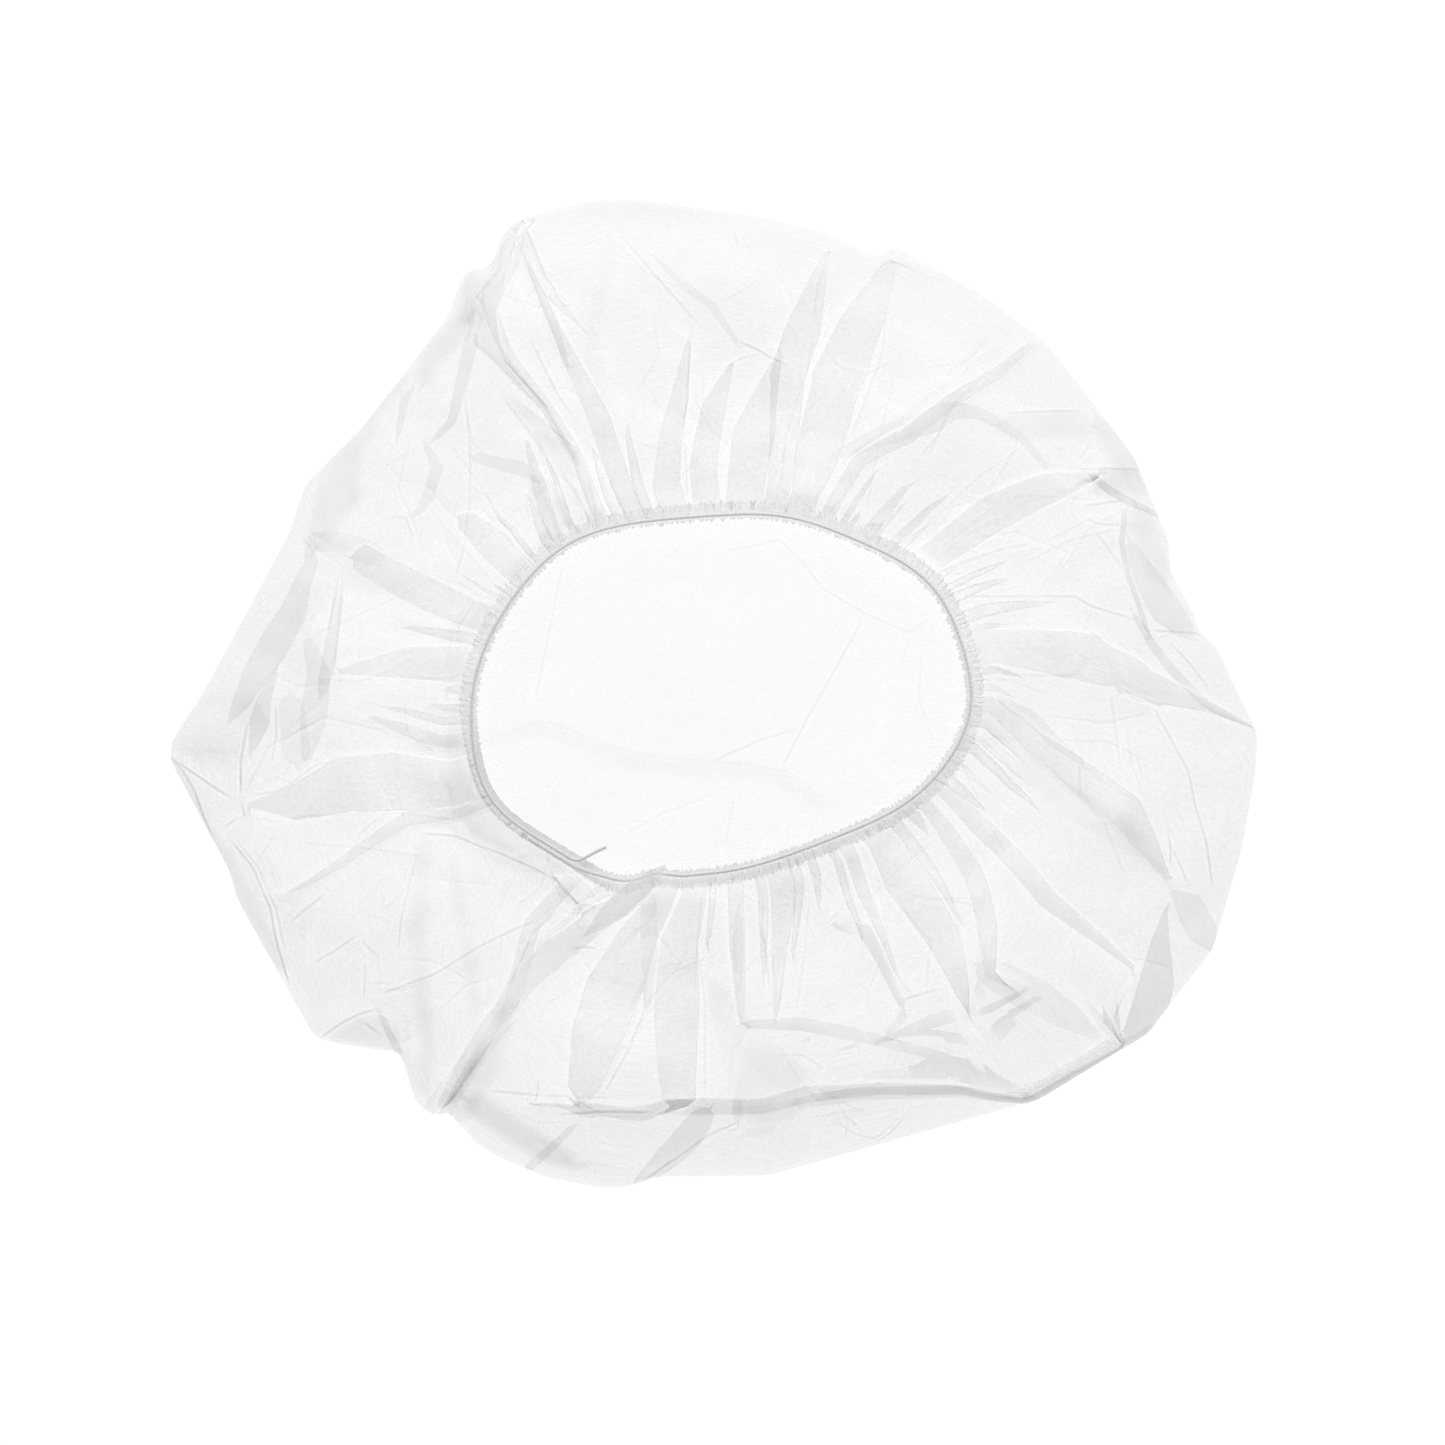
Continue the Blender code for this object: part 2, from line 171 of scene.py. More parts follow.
# The main pleats, in order round the mouth from the right, anticlockwise
PLEATS = (
    pleat(Lay.LEFT, (0.983, -0.061, 0.06), (0.893, -0.02, 0.26), (0.803, 0.011, 0.6),
          (0.711, 0.059, 0.9), (0.619, 0.072, 1.0), (0.509, 0.085, 0.7)),
    pleat(Lay.LEFT, (0.693, 0.394, 0.15), (0.61, 0.375, 0.65), (0.509, 0.329, 0.82),
          (0.389, 0.243, 0.6)),
    pleat(Lay.RIGHT, (0.58, 0.637, 0.1), (0.514, 0.58, 0.25), (0.352, 0.467, 0.35),
          (0.264, 0.421, 0.3), (0.224, 0.357, 0.3)),
    pleat(Lay.RIGHT, (0.316, 0.78, 0.3), (0.266, 0.67, 0.86), (0.224, 0.569, 1.2),
          (0.187, 0.431, 0.9), (0.168, 0.366, 0.6)),
    pleat(Lay.RIGHT, (0.213, 0.819, 0.02), (0.165, 0.67, 0.75), (0.135, 0.578, 0.75),
          (0.119, 0.375, 0.5)),
    pleat(Lay.LEFT, (0.126, 0.629, 0.05), (0.073, 0.477, 0.9), (0.058, 0.366, 0.8)),
    pleat(Lay.RIGHT, (0.04, 0.615, 0.02), (0.0, 0.523, 0.5), (-0.019, 0.412, 0.6)),
    pleat(Lay.LEFT, (-0.038, 0.668, 0.02), (-0.062, 0.541, 0.39), (-0.086, 0.383, 0.6)),
    pleat(Lay.LEFT, (-0.339, 0.786, 0.08), (-0.282, 0.651, 0.22), (-0.209, 0.504, 0.48),
          (-0.159, 0.359, 0.43)),
    pleat(Lay.RIGHT, (-0.336, 0.868, 0.54), (-0.417, 0.725, 0.3), (-0.369, 0.607, 0.25),
          (-0.299, 0.519, 0.2), (-0.251, 0.438, 0.25), (-0.209, 0.329, 0.3)),
    pleat(Lay.LEFT, (-0.34, 0.46, 0.1), (-0.315, 0.37, 0.32), (-0.289, 0.29, 0.3)),
    pleat(Lay.RIGHT, (-0.455, 0.32, 0.45), (-0.4, 0.27, 0.7), (-0.345, 0.215, 0.6)),
    pleat(Lay.LEFT, (-0.64, 0.247, 0.6), (-0.577, 0.21, 0.68), (-0.503, 0.173, 0.7),
          (-0.433, 0.142, 0.6)),
    pleat(Lay.RIGHT, (-0.68, 0.04, 0.1), (-0.568, 0.057, 0.65), (-0.465, 0.053, 0.8)),
    pleat(Lay.LEFT, (-0.634, -0.035, 0.05), (-0.568, -0.064, 0.26), (-0.494, -0.088, 0.3)),
    pleat(Lay.RIGHT, (-0.855, -0.204, 0.03), (-0.761, -0.201, 0.75), (-0.669, -0.167, 1.19),
          (-0.577, -0.162, 1.25), (-0.476, -0.165, 0.95)),
    pleat(Lay.LEFT, (-0.803, -0.385, 0.05), (-0.687, -0.315, 0.18), (-0.558, -0.228, 0.3),
          (-0.463, -0.217, 0.25)),
    pleat(Lay.RIGHT, (-0.463, -0.747, 0.32), (-0.411, -0.664, 0.42), (-0.356, -0.572, 0.4),
          (-0.33, -0.42, 0.35)),
    pleat(Lay.LEFT, (-0.516, -0.769, 0.26), (-0.476, -0.692, 0.34), (-0.417, -0.592, 0.32),
          (-0.374, -0.554, 0.4), (-0.282, -0.462, 0.6), (-0.209, -0.412, 0.55),
          (-0.117, -0.342, 0.35)),
    pleat(Lay.LEFT, (-0.24, -0.729, 0.6), (-0.209, -0.618, 1.1), (-0.176, -0.526, 1.2),
          (-0.135, -0.434, 0.8), (-0.084, -0.357, 0.4)),
    pleat(Lay.RIGHT, (-0.062, -0.738, 0.7), (-0.065, -0.563, 1.0), (-0.062, -0.453, 0.8),
          (-0.034, -0.361, 0.5)),
    pleat(Lay.LEFT, (0.049, -0.589, 0.12), (0.041, -0.453, 0.3), (0.04, -0.351, 0.35)),
    pleat(Lay.RIGHT, (0.113, -0.58, 0.12), (0.119, -0.471, 0.32), (0.126, -0.351, 0.55)),
    pleat(Lay.LEFT, (0.343, -0.545, 0.05), (0.273, -0.361, 0.28), (0.247, -0.287, 0.3)),
    pleat(Lay.LEFT, (0.454, -0.548, 0.3), (0.417, -0.443, 0.75), (0.349, -0.342, 0.9),
          (0.303, -0.265, 0.6)),
    pleat(Lay.RIGHT, (0.498, -0.552, 0.12), (0.498, -0.443, 0.39), (0.476, -0.333, 0.43),
          (0.389, -0.204, 0.3)),
    pleat(Lay.LEFT, (0.768, -0.502, 0.1), (0.606, -0.374, 0.43), (0.481, -0.236, 0.43),
          (0.417, -0.173, 0.3)),
    pleat(Lay.RIGHT, (0.827, -0.34, 0.1), (0.757, -0.223, 0.75), (0.665, -0.149, 0.65),
          (0.582, -0.085, 0.48), (0.505, -0.02, 0.35)),
)

# The fold that runs round the cap near its front edge
TUCK = Tuck(0.03, bends((-0.32, -0.745, 0.3), (-0.24, -0.747, 0.7), (-0.025, -0.747, 0.9),
                        (0.17, -0.725, 0.9), (0.301, -0.716, 0.75), (0.448, -0.721, 0.75),
                        (0.566, -0.743, 0.6), (0.65, -0.7, 0.5), (0.74, -0.65, 0.3)))

# The upper layer's marks: creases and flap edges of painted shade, and places of painted shade or
# light
MARKS = (
    # The folds at the left
    flap(0.65, (313, 548, 0.1), (318, 565, 0.28), (308, 590, 0.4), (300, 615, 0.58),
         (285, 640, 0.66), (266, 670, 0.6), (250, 700, 0.4), (240, 716, 0.15)),
    flap(0.45, (316, 645, 0.22), (325, 675, 0.48), (318, 720, 0.56), (312, 755, 0.22)),
    flap(0.6, (283, 672, 0.06), (272, 700, 0.28), (266, 722, 0.4), (258, 750, 0.1)),
    crease(0.6, (255, 720), (247, 760), (246, 795)),
    crease(0.4, (283, 700), (282, 730), (276, 765)),
    flap(0.35, (297, 708, 0.5), (301, 750, 0.6)),
    flap(0.2, (190, 725, 1.1), (240, 722, 1.38)),
    flap(0.4, (322, 545, 0.4), (345, 545, 0.42), (375, 556, 0.5)),
    crease(0.35, (345, 580), (334, 640)),
    crease(0.35, (350, 580), (338, 680)),
    flap(0.5, (345, 600, 0.2), (335, 660, 0.26), (328, 690, 0.2)),
    patch(0.3, (205, 755, 0.3), (240, 757, 0.3)),
    crease(0.6, (170, 755), (185, 768), (198, 792), (205, 815), (215, 838)),
    crease(0.4, (170, 755), (240, 800)),
    crease(0.35, (182, 760), (200, 775), (238, 800)),
    crease(0.6, (245, 800), (250, 820)),
    crease(0.4, (225, 828), (245, 815)),
    crease(0.7, (232, 838), (258, 865), (276, 905), (284, 950), (292, 985)),
    crease(0.4, (238, 838), (264, 865), (282, 905), (291, 950)),
    crease(0.35, (248, 760), (244, 800)),
    crease(0.35, (283, 830), (262, 862)),
    crease(0.4, (255, 795), (285, 790), (300, 780), (320, 765), (340, 760)),
    crease(0.35, (260, 815), (280, 822), (310, 815), (400, 812), (460, 820)),
    patch(0.5, (175, 765, 0.35), (230, 870, 0.45), (262, 930, 0.54), (282, 960, 0.35)),
    patch(-0.3, (355, 622, 1.2), (425, 618, 1.2)),
    patch(0.15, (245, 850, 0.8), (295, 915, 0.9)),
    # The lower left
    crease(0.5, (295, 920), (333, 890)),
    crease(0.45, (318, 960), (340, 948), (365, 930)),
    crease(0.4, (365, 935), (385, 958)),
    crease(0.35, (370, 955), (368, 1000)),
    crease(0.35, (370, 980), (395, 980)),
    crease(0.6, (320, 1038), (345, 1020), (365, 1010), (382, 1006)),
    patch(0.4, (340, 1036, 0.25), (368, 1028, 0.6), (388, 1034, 0.6)),
    crease(0.5, (365, 1018), (385, 1034)),
    flap(0.6, (385, 1015, 0.1), (400, 1050, 0.16)),
    patch(0.25, (405, 1050, 0.22), (420, 1075, 0.65)),
    crease(0.5, (383, 992), (400, 985), (440, 970), (480, 945), (510, 930), (540, 918)),
    patch(0.4, (425, 850, 0.32), (422, 940, 0.32), (428, 1010, 0.32), (430, 1060, 0.32)),
    patch(0.35, (455, 870, 0.26), (470, 940, 0.26), (478, 1000, 0.26), (480, 1040, 0.26)),
    crease(0.35, (420, 850), (413, 880), (405, 920), (402, 950)),
    flap(0.4, (590, 931, 0.3), (575, 938, 0.55), (552, 947, 0.85), (535, 962, 0.75),
         (520, 985, 0.5), (506, 1004, 0.3)),
    flap(0.3, (500, 1012, 0.35), (478, 1045, 0.3), (455, 1076, 0.26), (430, 1108, 0.26)),
    crease(0.45, (560, 910), (535, 930), (520, 965), (510, 985)),
    patch(0.4, (505, 1020, 0.43), (490, 1060, 0.65), (465, 1100, 0.65)),
    crease(0.6, (575, 945), (597, 947)),
    patch(0.6, (480, 1100, 0.54), (510, 1120, 0.54), (560, 1150, 0.54), (580, 1160, 0.2)),
    flap(0.5, (575, 1120, 0.12), (550, 1145, 0.17), (530, 1165, 0.17)),
    crease(0.6, (490, 1085), (560, 1090), (610, 1091)),
    crease(0.5, (560, 1107), (610, 1105), (660, 1107)),
    # The bottom
    flap(0.6, (649, 900, 0.33), (650, 950, 0.35), (648, 1000, 0.15)),
    crease(0.45, (648, 1000), (630, 1045), (604, 1090)),
    crease(0.35, (583, 955), (600, 985), (610, 1000)),
    crease(0.35, (655, 930), (680, 960), (692, 975)),
    crease(0.3, (702, 890), (697, 945), (705, 1000), (705, 1090)),
    flap(0.5, (738, 915, 0.12), (738, 940, 0.22), (738, 965, 0.18)),
    crease(0.4, (744, 910), (744, 1015)),
    crease(0.35, (763, 890), (762, 930), (770, 990)),
    crease(0.35, (791, 885), (795, 900), (785, 960), (778, 1010)),
    flap(0.8, (842, 926, 0.22), (864, 930, 0.26), (880, 958, 0.22), (899, 1000, 0.15)),
    crease(0.6, (895, 1001), (905, 995), (938, 985)),
    flap(0.7, (748, 1021, 0.15), (800, 1020, 0.26), (850, 1030, 0.26), (885, 1038, 0.2),
         (930, 1050, 0.2), (1000, 1070, 0.15)),
    flap(0.8, (878, 1037, 0.08), (930, 1017, 0.26), (985, 1002, 0.28), (1022, 984, 0.12)),
    crease(0.4, (765, 1050), (800, 1050), (825, 1065)),
    patch(0.3, (750, 1050, 0.4), (790, 1076, 0.55)),
    patch(0.35, (712, 985, 0.3), (738, 1035, 0.9), (768, 1080, 1.6)),
    flap(0.12, (667, 1101, 0.4), (700, 1101, 0.4)),
    flap(0.35, (737, 1094, 0.2), (737, 1113, 0.2)),
    flap(0.45, (800, 1096, 0.24), (830, 1092, 0.3), (860, 1088, 0.26), (950, 1088, 0.26),
         (1025, 1096, 0.26)),
    flap(0.55, (702, 1112, 0.5), (686, 1135, 0.6), (665, 1157, 0.5), (640, 1180, 0.25)),
    crease(0.6, (742, 1113), (705, 1131), (680, 1152), (640, 1182)),
    crease(0.4, (845, 1110), (862, 1130)),
    crease(0.4, (905, 1110), (890, 1130), (872, 1143)),
    crease(0.3, (835, 1115), (850, 1130), (875, 1137), (900, 1112)),
    flap(0.6, (960, 1075, 0.1), (1000, 1070, 0.16), (1040, 1060, 0.1)),
    flap(0.4, (1028, 1094, 0.26), (1062, 1078, 0.28), (1100, 1058, 0.28), (1150, 1028, 0.22)),
    # The lower right
    flap(0.4, (985, 968, 0.55), (1018, 985, 0.8), (1058, 1008, 0.65), (1098, 1036, 0.2)),
    flap(0.75, (1160, 908, 0.06), (1155, 940, 0.4), (1152, 980, 0.8), (1142, 1030, 0.95)),
    crease(0.6, (1161, 825), (1165, 850), (1163, 872)),
    crease(0.5, (1163, 840), (1175, 865), (1183, 885)),
    flap(0.5, (1168, 890, 0.12), (1184, 905, 0.65), (1200, 930, 0.65), (1212, 945, 0.3)),
    flap(0.2, (978, 925, 0.1), (979, 955, 0.26), (979, 1000, 0.2)),
    crease(0.5, (1147, 705), (1157, 725), (1170, 750), (1182, 770), (1188, 800), (1200, 840),
           (1208, 885)),
    crease(0.3, (1105, 690), (1110, 720), (1116, 775)),
    crease(0.3, (1130, 750), (1137, 780)),
    flap(0.7, (1000, 700, 0.2), (1030, 718, 0.28), (1050, 740, 0.26), (1076, 761, 0.12)),
    crease(0.5, (1075, 760), (1075, 800)),
    patch(0.45, (980, 718, 0.35), (1020, 765, 0.6), (1070, 800, 0.7), (1120, 835, 0.6),
          (1150, 865, 0.2)),
    flap(0.2, (1108, 800, 0.1), (1125, 825, 0.45), (1158, 855, 0.12)),
    crease(0.25, (1076, 765), (1110, 790), (1145, 808)),
    # The right
    patch(-0.35, (985, 648, 0.6), (1050, 655, 0.9), (1105, 664, 0.7)),
    patch(-0.25, (960, 535, 0.6), (1010, 505, 0.9), (1060, 485, 0.4)),
    crease(0.35, (985, 665), (1010, 675), (1100, 678), (1112, 686), (1130, 700), (1160, 705),
           (1200, 713)),
    flap(0.7, (1128, 618, 0.1), (1145, 645, 0.16), (1165, 670, 0.18), (1200, 705, 0.16),
         (1245, 727, 0.1)),
    crease(0.5, (1160, 640), (1180, 660), (1205, 690)),
    crease(0.6, (1140, 632), (1195, 634), (1215, 645)),
    crease(0.5, (960, 597), (1070, 598), (1085, 608), (1130, 622)),
    flap(0.8, (1118, 520, 0.1), (1115, 545, 0.1), (1122, 580, 0.1), (1140, 632, 0.08)),
    flap(0.65, (1125, 550, 0.22), (1140, 580, 0.56), (1160, 610, 0.73), (1180, 630, 0.43)),
    patch(0.6, (1135, 525, 0.6), (1155, 575, 0.5)),
    crease(0.35, (1085, 530), (1105, 555), (1118, 575)),
    crease(0.2, (1080, 485), (1050, 500), (1020, 505), (985, 525), (960, 540), (935, 560),
           (925, 567)),
    crease(0.6, (1120, 503), (1090, 508), (1075, 510)),
    crease(0.5, (1075, 520), (1095, 528), (1115, 528), (1120, 535)),
    flap(1.0, (1085, 480, 0.1), (1105, 495, 0.16), (1120, 503, 0.16), (1155, 517, 0.08)),
    crease(0.5, (1070, 473), (1140, 472)),
    patch(0.7, (1095, 486, 0.52), (1140, 486, 0.52)),
    flap(0.45, (840, 455, 0.2), (880, 440, 0.43), (930, 425, 0.52), (950, 416, 0.35),
         (975, 418, 0.24), (1000, 430, 0.2), (1020, 445, 0.16), (1040, 470, 0.12),
         (1060, 475, 0.2), (1085, 480, 0.28)),
    crease(0.5, (1000, 417), (1080, 415)),
    patch(0.6, (1005, 430, 0.5), (1075, 430, 0.5)),
    patch(0.9, (1100, 430, 0.43), (1115, 450, 0.73), (1125, 465, 0.65)),
    flap(0.3, (1025, 350, 0.12), (990, 360, 0.3), (960, 388, 0.34), (930, 405, 0.3),
         (900, 425, 0.12)),
    crease(0.35, (900, 425), (860, 450), (840, 465)),
    crease(0.35, (940, 570), (1000, 550), (1030, 545)),
    crease(0.3, (950, 585), (1010, 585)),
    # The top
    patch(-0.25, (803, 330, 0.8), (787, 380, 0.7), (778, 480, 0.5)),
    patch(-0.25, (858, 330, 1.2), (835, 385, 1.3), (815, 460, 0.9)),
    patch(-0.2, (683, 385, 0.5), (668, 480, 0.6)),
    patch(0.25, (610, 245, 0.2), (603, 290, 0.26), (590, 350, 0.26), (603, 400, 0.35)),
    crease(0.45, (625, 243), (640, 262), (655, 280), (690, 320), (700, 330)),
    flap(0.4, (655, 262, 0.05), (680, 288, 0.14), (712, 312, 0.14), (735, 345, 0.1)),
    crease(0.6, (735, 345), (760, 355), (770, 362), (790, 370)),
    crease(0.3, (720, 375), (740, 362), (760, 358)),
    crease(0.5, (733, 240), (740, 256)),
    crease(0.35, (693, 330), (688, 380), (684, 440), (688, 500)),
    crease(0.35, (829, 247), (815, 300), (810, 350), (805, 380)),
    crease(0.45, (800, 390), (785, 440), (780, 490)),
    crease(0.3, (884, 320), (880, 360), (865, 400), (850, 440)),
    # The upper left
    flap(0.75, (530, 225, 0.17), (520, 240, 0.3), (510, 265, 0.56), (498, 290, 0.48),
         (492, 320, 0.3), (490, 345, 0.54), (500, 360, 0.3), (520, 385, 0.17), (545, 410, 0.13),
         (575, 460, 0.13)),
    patch(0.9, (476, 285, 0.45), (474, 318, 0.5)),
    crease(0.3, (505, 330), (515, 370), (552, 415)),
    crease(0.3, (500, 360), (525, 385), (550, 413)),
    flap(0.6, (527, 262, 0.08), (540, 290, 0.17), (552, 320, 0.17), (563, 350, 0.14),
         (568, 370, 0.08)),
    crease(0.4, (533, 345), (545, 370), (560, 400), (575, 420)),
    crease(0.3, (505, 400), (535, 440), (560, 470), (580, 500), (585, 525)),
    crease(0.35, (520, 405), (545, 425), (575, 450), (590, 480), (598, 520)),
    patch(0.6, (513, 403, 0.1), (552, 447, 0.45), (582, 485, 0.5), (592, 522, 0.35)),
    flap(0.6, (475, 345, 0.3), (467, 380, 0.26), (462, 400, 0.2), (455, 425, 0.16),
         (440, 440, 0.1)),
    crease(0.35, (468, 400), (472, 440), (471, 500), (465, 545), (456, 583)),
    patch(0.8, (465, 330, 0.54), (450, 345, 0.54), (435, 360, 0.54), (428, 380, 0.4)),
    patch(0.6, (405, 385, 0.3), (375, 415, 0.43), (352, 450, 0.7), (342, 500, 0.95),
          (325, 540, 0.5)),
    flap(0.7, (415, 393, 0.08), (408, 405, 0.16), (405, 425, 0.12), (402, 442, 0.06)),
    flap(0.5, (430, 450, 0.12), (440, 470, 0.22), (430, 500, 0.22), (420, 515, 0.1)),
    flap(0.45, (480, 460, 0.2), (520, 470, 0.28), (540, 480, 0.2)),
    patch(0.7, (540, 490, 0.43), (560, 515, 0.54)),
    flap(0.5, (490, 515, 0.1), (510, 535, 0.22), (530, 555, 0.18)),
    crease(0.4, (395, 520), (410, 520), (415, 540)),
    # The rolled hem and the pouch at the elastic's join
    patch(0.5, (462, 700, 0.2), (456, 742, 0.5), (463, 790, 0.75), (486, 824, 0.7),
          (530, 852, 0.45), (563, 870, 0.35)),
    patch(0.25, (445, 720, 0.9), (440, 780, 1.3), (470, 825, 0.6)),
    crease(0.6, (420, 833), (455, 835), (480, 845), (500, 852), (530, 865), (560, 880), (580, 905),
           (585, 920)),
    patch(0.3, (440, 822, 0.3), (480, 835, 0.5), (530, 862, 0.6), (570, 890, 0.45)),
    flap(0.35, (552, 860, 0.2), (572, 888, 0.6), (592, 905, 0.3)),
    crease(0.5, (550, 868), (565, 890), (578, 902), (604, 908)),
    crease(0.4, (584, 880), (592, 892), (606, 906)),
    crease(0.5, (582, 936), (578, 922), (588, 908), (604, 902), (622, 893)),
)

# The marks of the lower layer, which the mouth shows, in painted shade
LOWER_MARKS = (
    crease(0.25, (562, 559), (533, 703)),
    patch(0.22, (487, 740, 0.2), (514, 731, 0.3), (545, 728, 0.34), (604, 754, 0.38),
          (633, 763, 0.36), (690, 769, 0.34), (747, 771, 0.34), (780, 778, 0.34), (822, 806, 0.2)),
    crease(0.12, (514, 724), (550, 722), (604, 745), (650, 756), (747, 765), (790, 772),
           (822, 800)),
    crease(0.25, (723, 550), (757, 544), (780, 538), (803, 561), (824, 588), (866, 613),
           (910, 632), (935, 615)),
    crease(0.35, (866, 615), (834, 672), (807, 720), (780, 772)),
    crease(0.25, (801, 728), (757, 741), (711, 762)),
    crease(0.2, (912, 634), (903, 663)),
    crease(0.2, (924, 643), (920, 697), (937, 749)),
    crease(0.2, (709, 764), (770, 737)),
    crease(0.2, (620, 838), (660, 815), (700, 800), (730, 785)),
    crease(0.2, (735, 790), (725, 850)),
)


class Column(NamedTuple):
    """One column of a folded pleat, across its region.

    Anchor is 0 for the region's left end, 1 for the pleat's left edge, 2 for its middle, 3 for
    its right edge and 4 for the region's right end; fractions lie between. Inset is a share of
    the fold's roundness, lift a share of the gap between two flaps, edge 1 at a folded edge,
    where the cloth is drawn denser and darker with painted shade.
    """

    anchor: float
    inset: float
    lift: float
    edge: float

    def between(self, stops: Array) -> Array:
        """Where the column lies among its region's five stops.

        Args:
            stops: The turn or share of each stop.

        Returns:
            The column's own turn or share.
        """
        low = min(int(self.anchor), len(stops) - 2)
        part = self.anchor - low
        return stops[low] * (1 - part) + stops[low + 1] * part


def folded(*rows: tuple[float, float, float, float]) -> tuple[Column, ...]:
    """Rows of anchor, inset, lift and edge as columns."""
    return tuple(Column(*row) for row in rows)


KNIFE_PLEAT = folded(
    (0.0, 0, 0.0, 0), (0.4, 0, 0.2, 0), (0.75, 0, 0.7, 0), (1.0, 0, 1.5, 0), (2.0, 0, 2.0, 0),
    (3.0, -1, 2.0, 0), (3.0, 0, 1.5, 0.3), (3.0, -1, 1.0, 0), (2.0, 0, 0.95, 0), (1.0, 1, 0.9, 0),
    (1.0, 0, 0.5, 0.3), (1.0, 1, 0.05, 0), (2.0, 0, 0.0, 0), (3.0, 0, 0.0, 0), (3.35, 0, 0.12, 0),
    (3.7, 0, 0.12, 0),
)
SMALL_GATHER = folded(
    (0.0, 0, 0.0, 0), (1.0, 0, 1.2, 0), (3.0, -1, 1.6, 0), (3.0, 0, 1.2, 0.2), (2.0, 0, 0.8, 0),
    (1.0, 0, 0.4, 0.2), (1.0, 1, 0.0, 0), (3.0, 0, 0.0, 0),
)


def ease(value: Array) -> Array:
    """A smooth step from 0 to 1, of values clamped to 0 and 1."""
    value = np.clip(value, 0.0, 1.0)
    return value * value * (3 - 2 * value)


def soften(values: Array, spread: float) -> Array:
    """A closed loop of values, each blended with its neighbours by a bell curve.

    Args:
        values: The loop, one row for each sample.
        spread: The bell's reach, in samples.

    Returns:
        The softened loop.
    """
    count = len(values)
    steps = np.minimum(np.arange(count), count - np.arange(count))
    bell = np.exp(-0.5 * (steps / spread) ** 2)
    bell /= bell.sum()
    shape = (count,) + (1,) * (values.ndim - 1)
    product = np.fft.fft(values, axis=0) * np.fft.fft(bell).reshape(shape)
    return np.real(np.fft.ifft(product, axis=0))


def photo_points(places: Sequence[Spot], half: float) -> Array:
    """X and Y in plan of places in the photograph, for half the cap's width."""
    pixels = np.array([(p.column - PHOTO_MIDDLE.column, PHOTO_MIDDLE.row - p.row) for p in places])
    return pixels * (half / PHOTO_HALF_WIDTH)


def add_object(name: str, data: Any) -> bpy.types.Object:
    """Puts a new object into the scene, at the origin.

    Args:
        name: The object's name.
        data: Its mesh, light or camera.

    Returns:
        The object.
    """
    made = bpy.data.objects.new(name, data)
    bpy.context.scene.collection.objects.link(made)
    return made


def store(mesh: bpy.types.Mesh, label: str, kind: str, values: Array) -> None:
    """Stores values on a mesh's points.

    Args:
        mesh: The mesh.
        label: The attribute's name.
        kind: The attribute's type, FLOAT or FLOAT_VECTOR.
        values: A number or a vector for each point.
    """
    made = mesh.attributes.new(label, kind, "POINT")
    target = "vector" if kind == "FLOAT_VECTOR" else "value"
    made.data.foreach_set(target, np.asarray(values, dtype=np.float32).ravel())


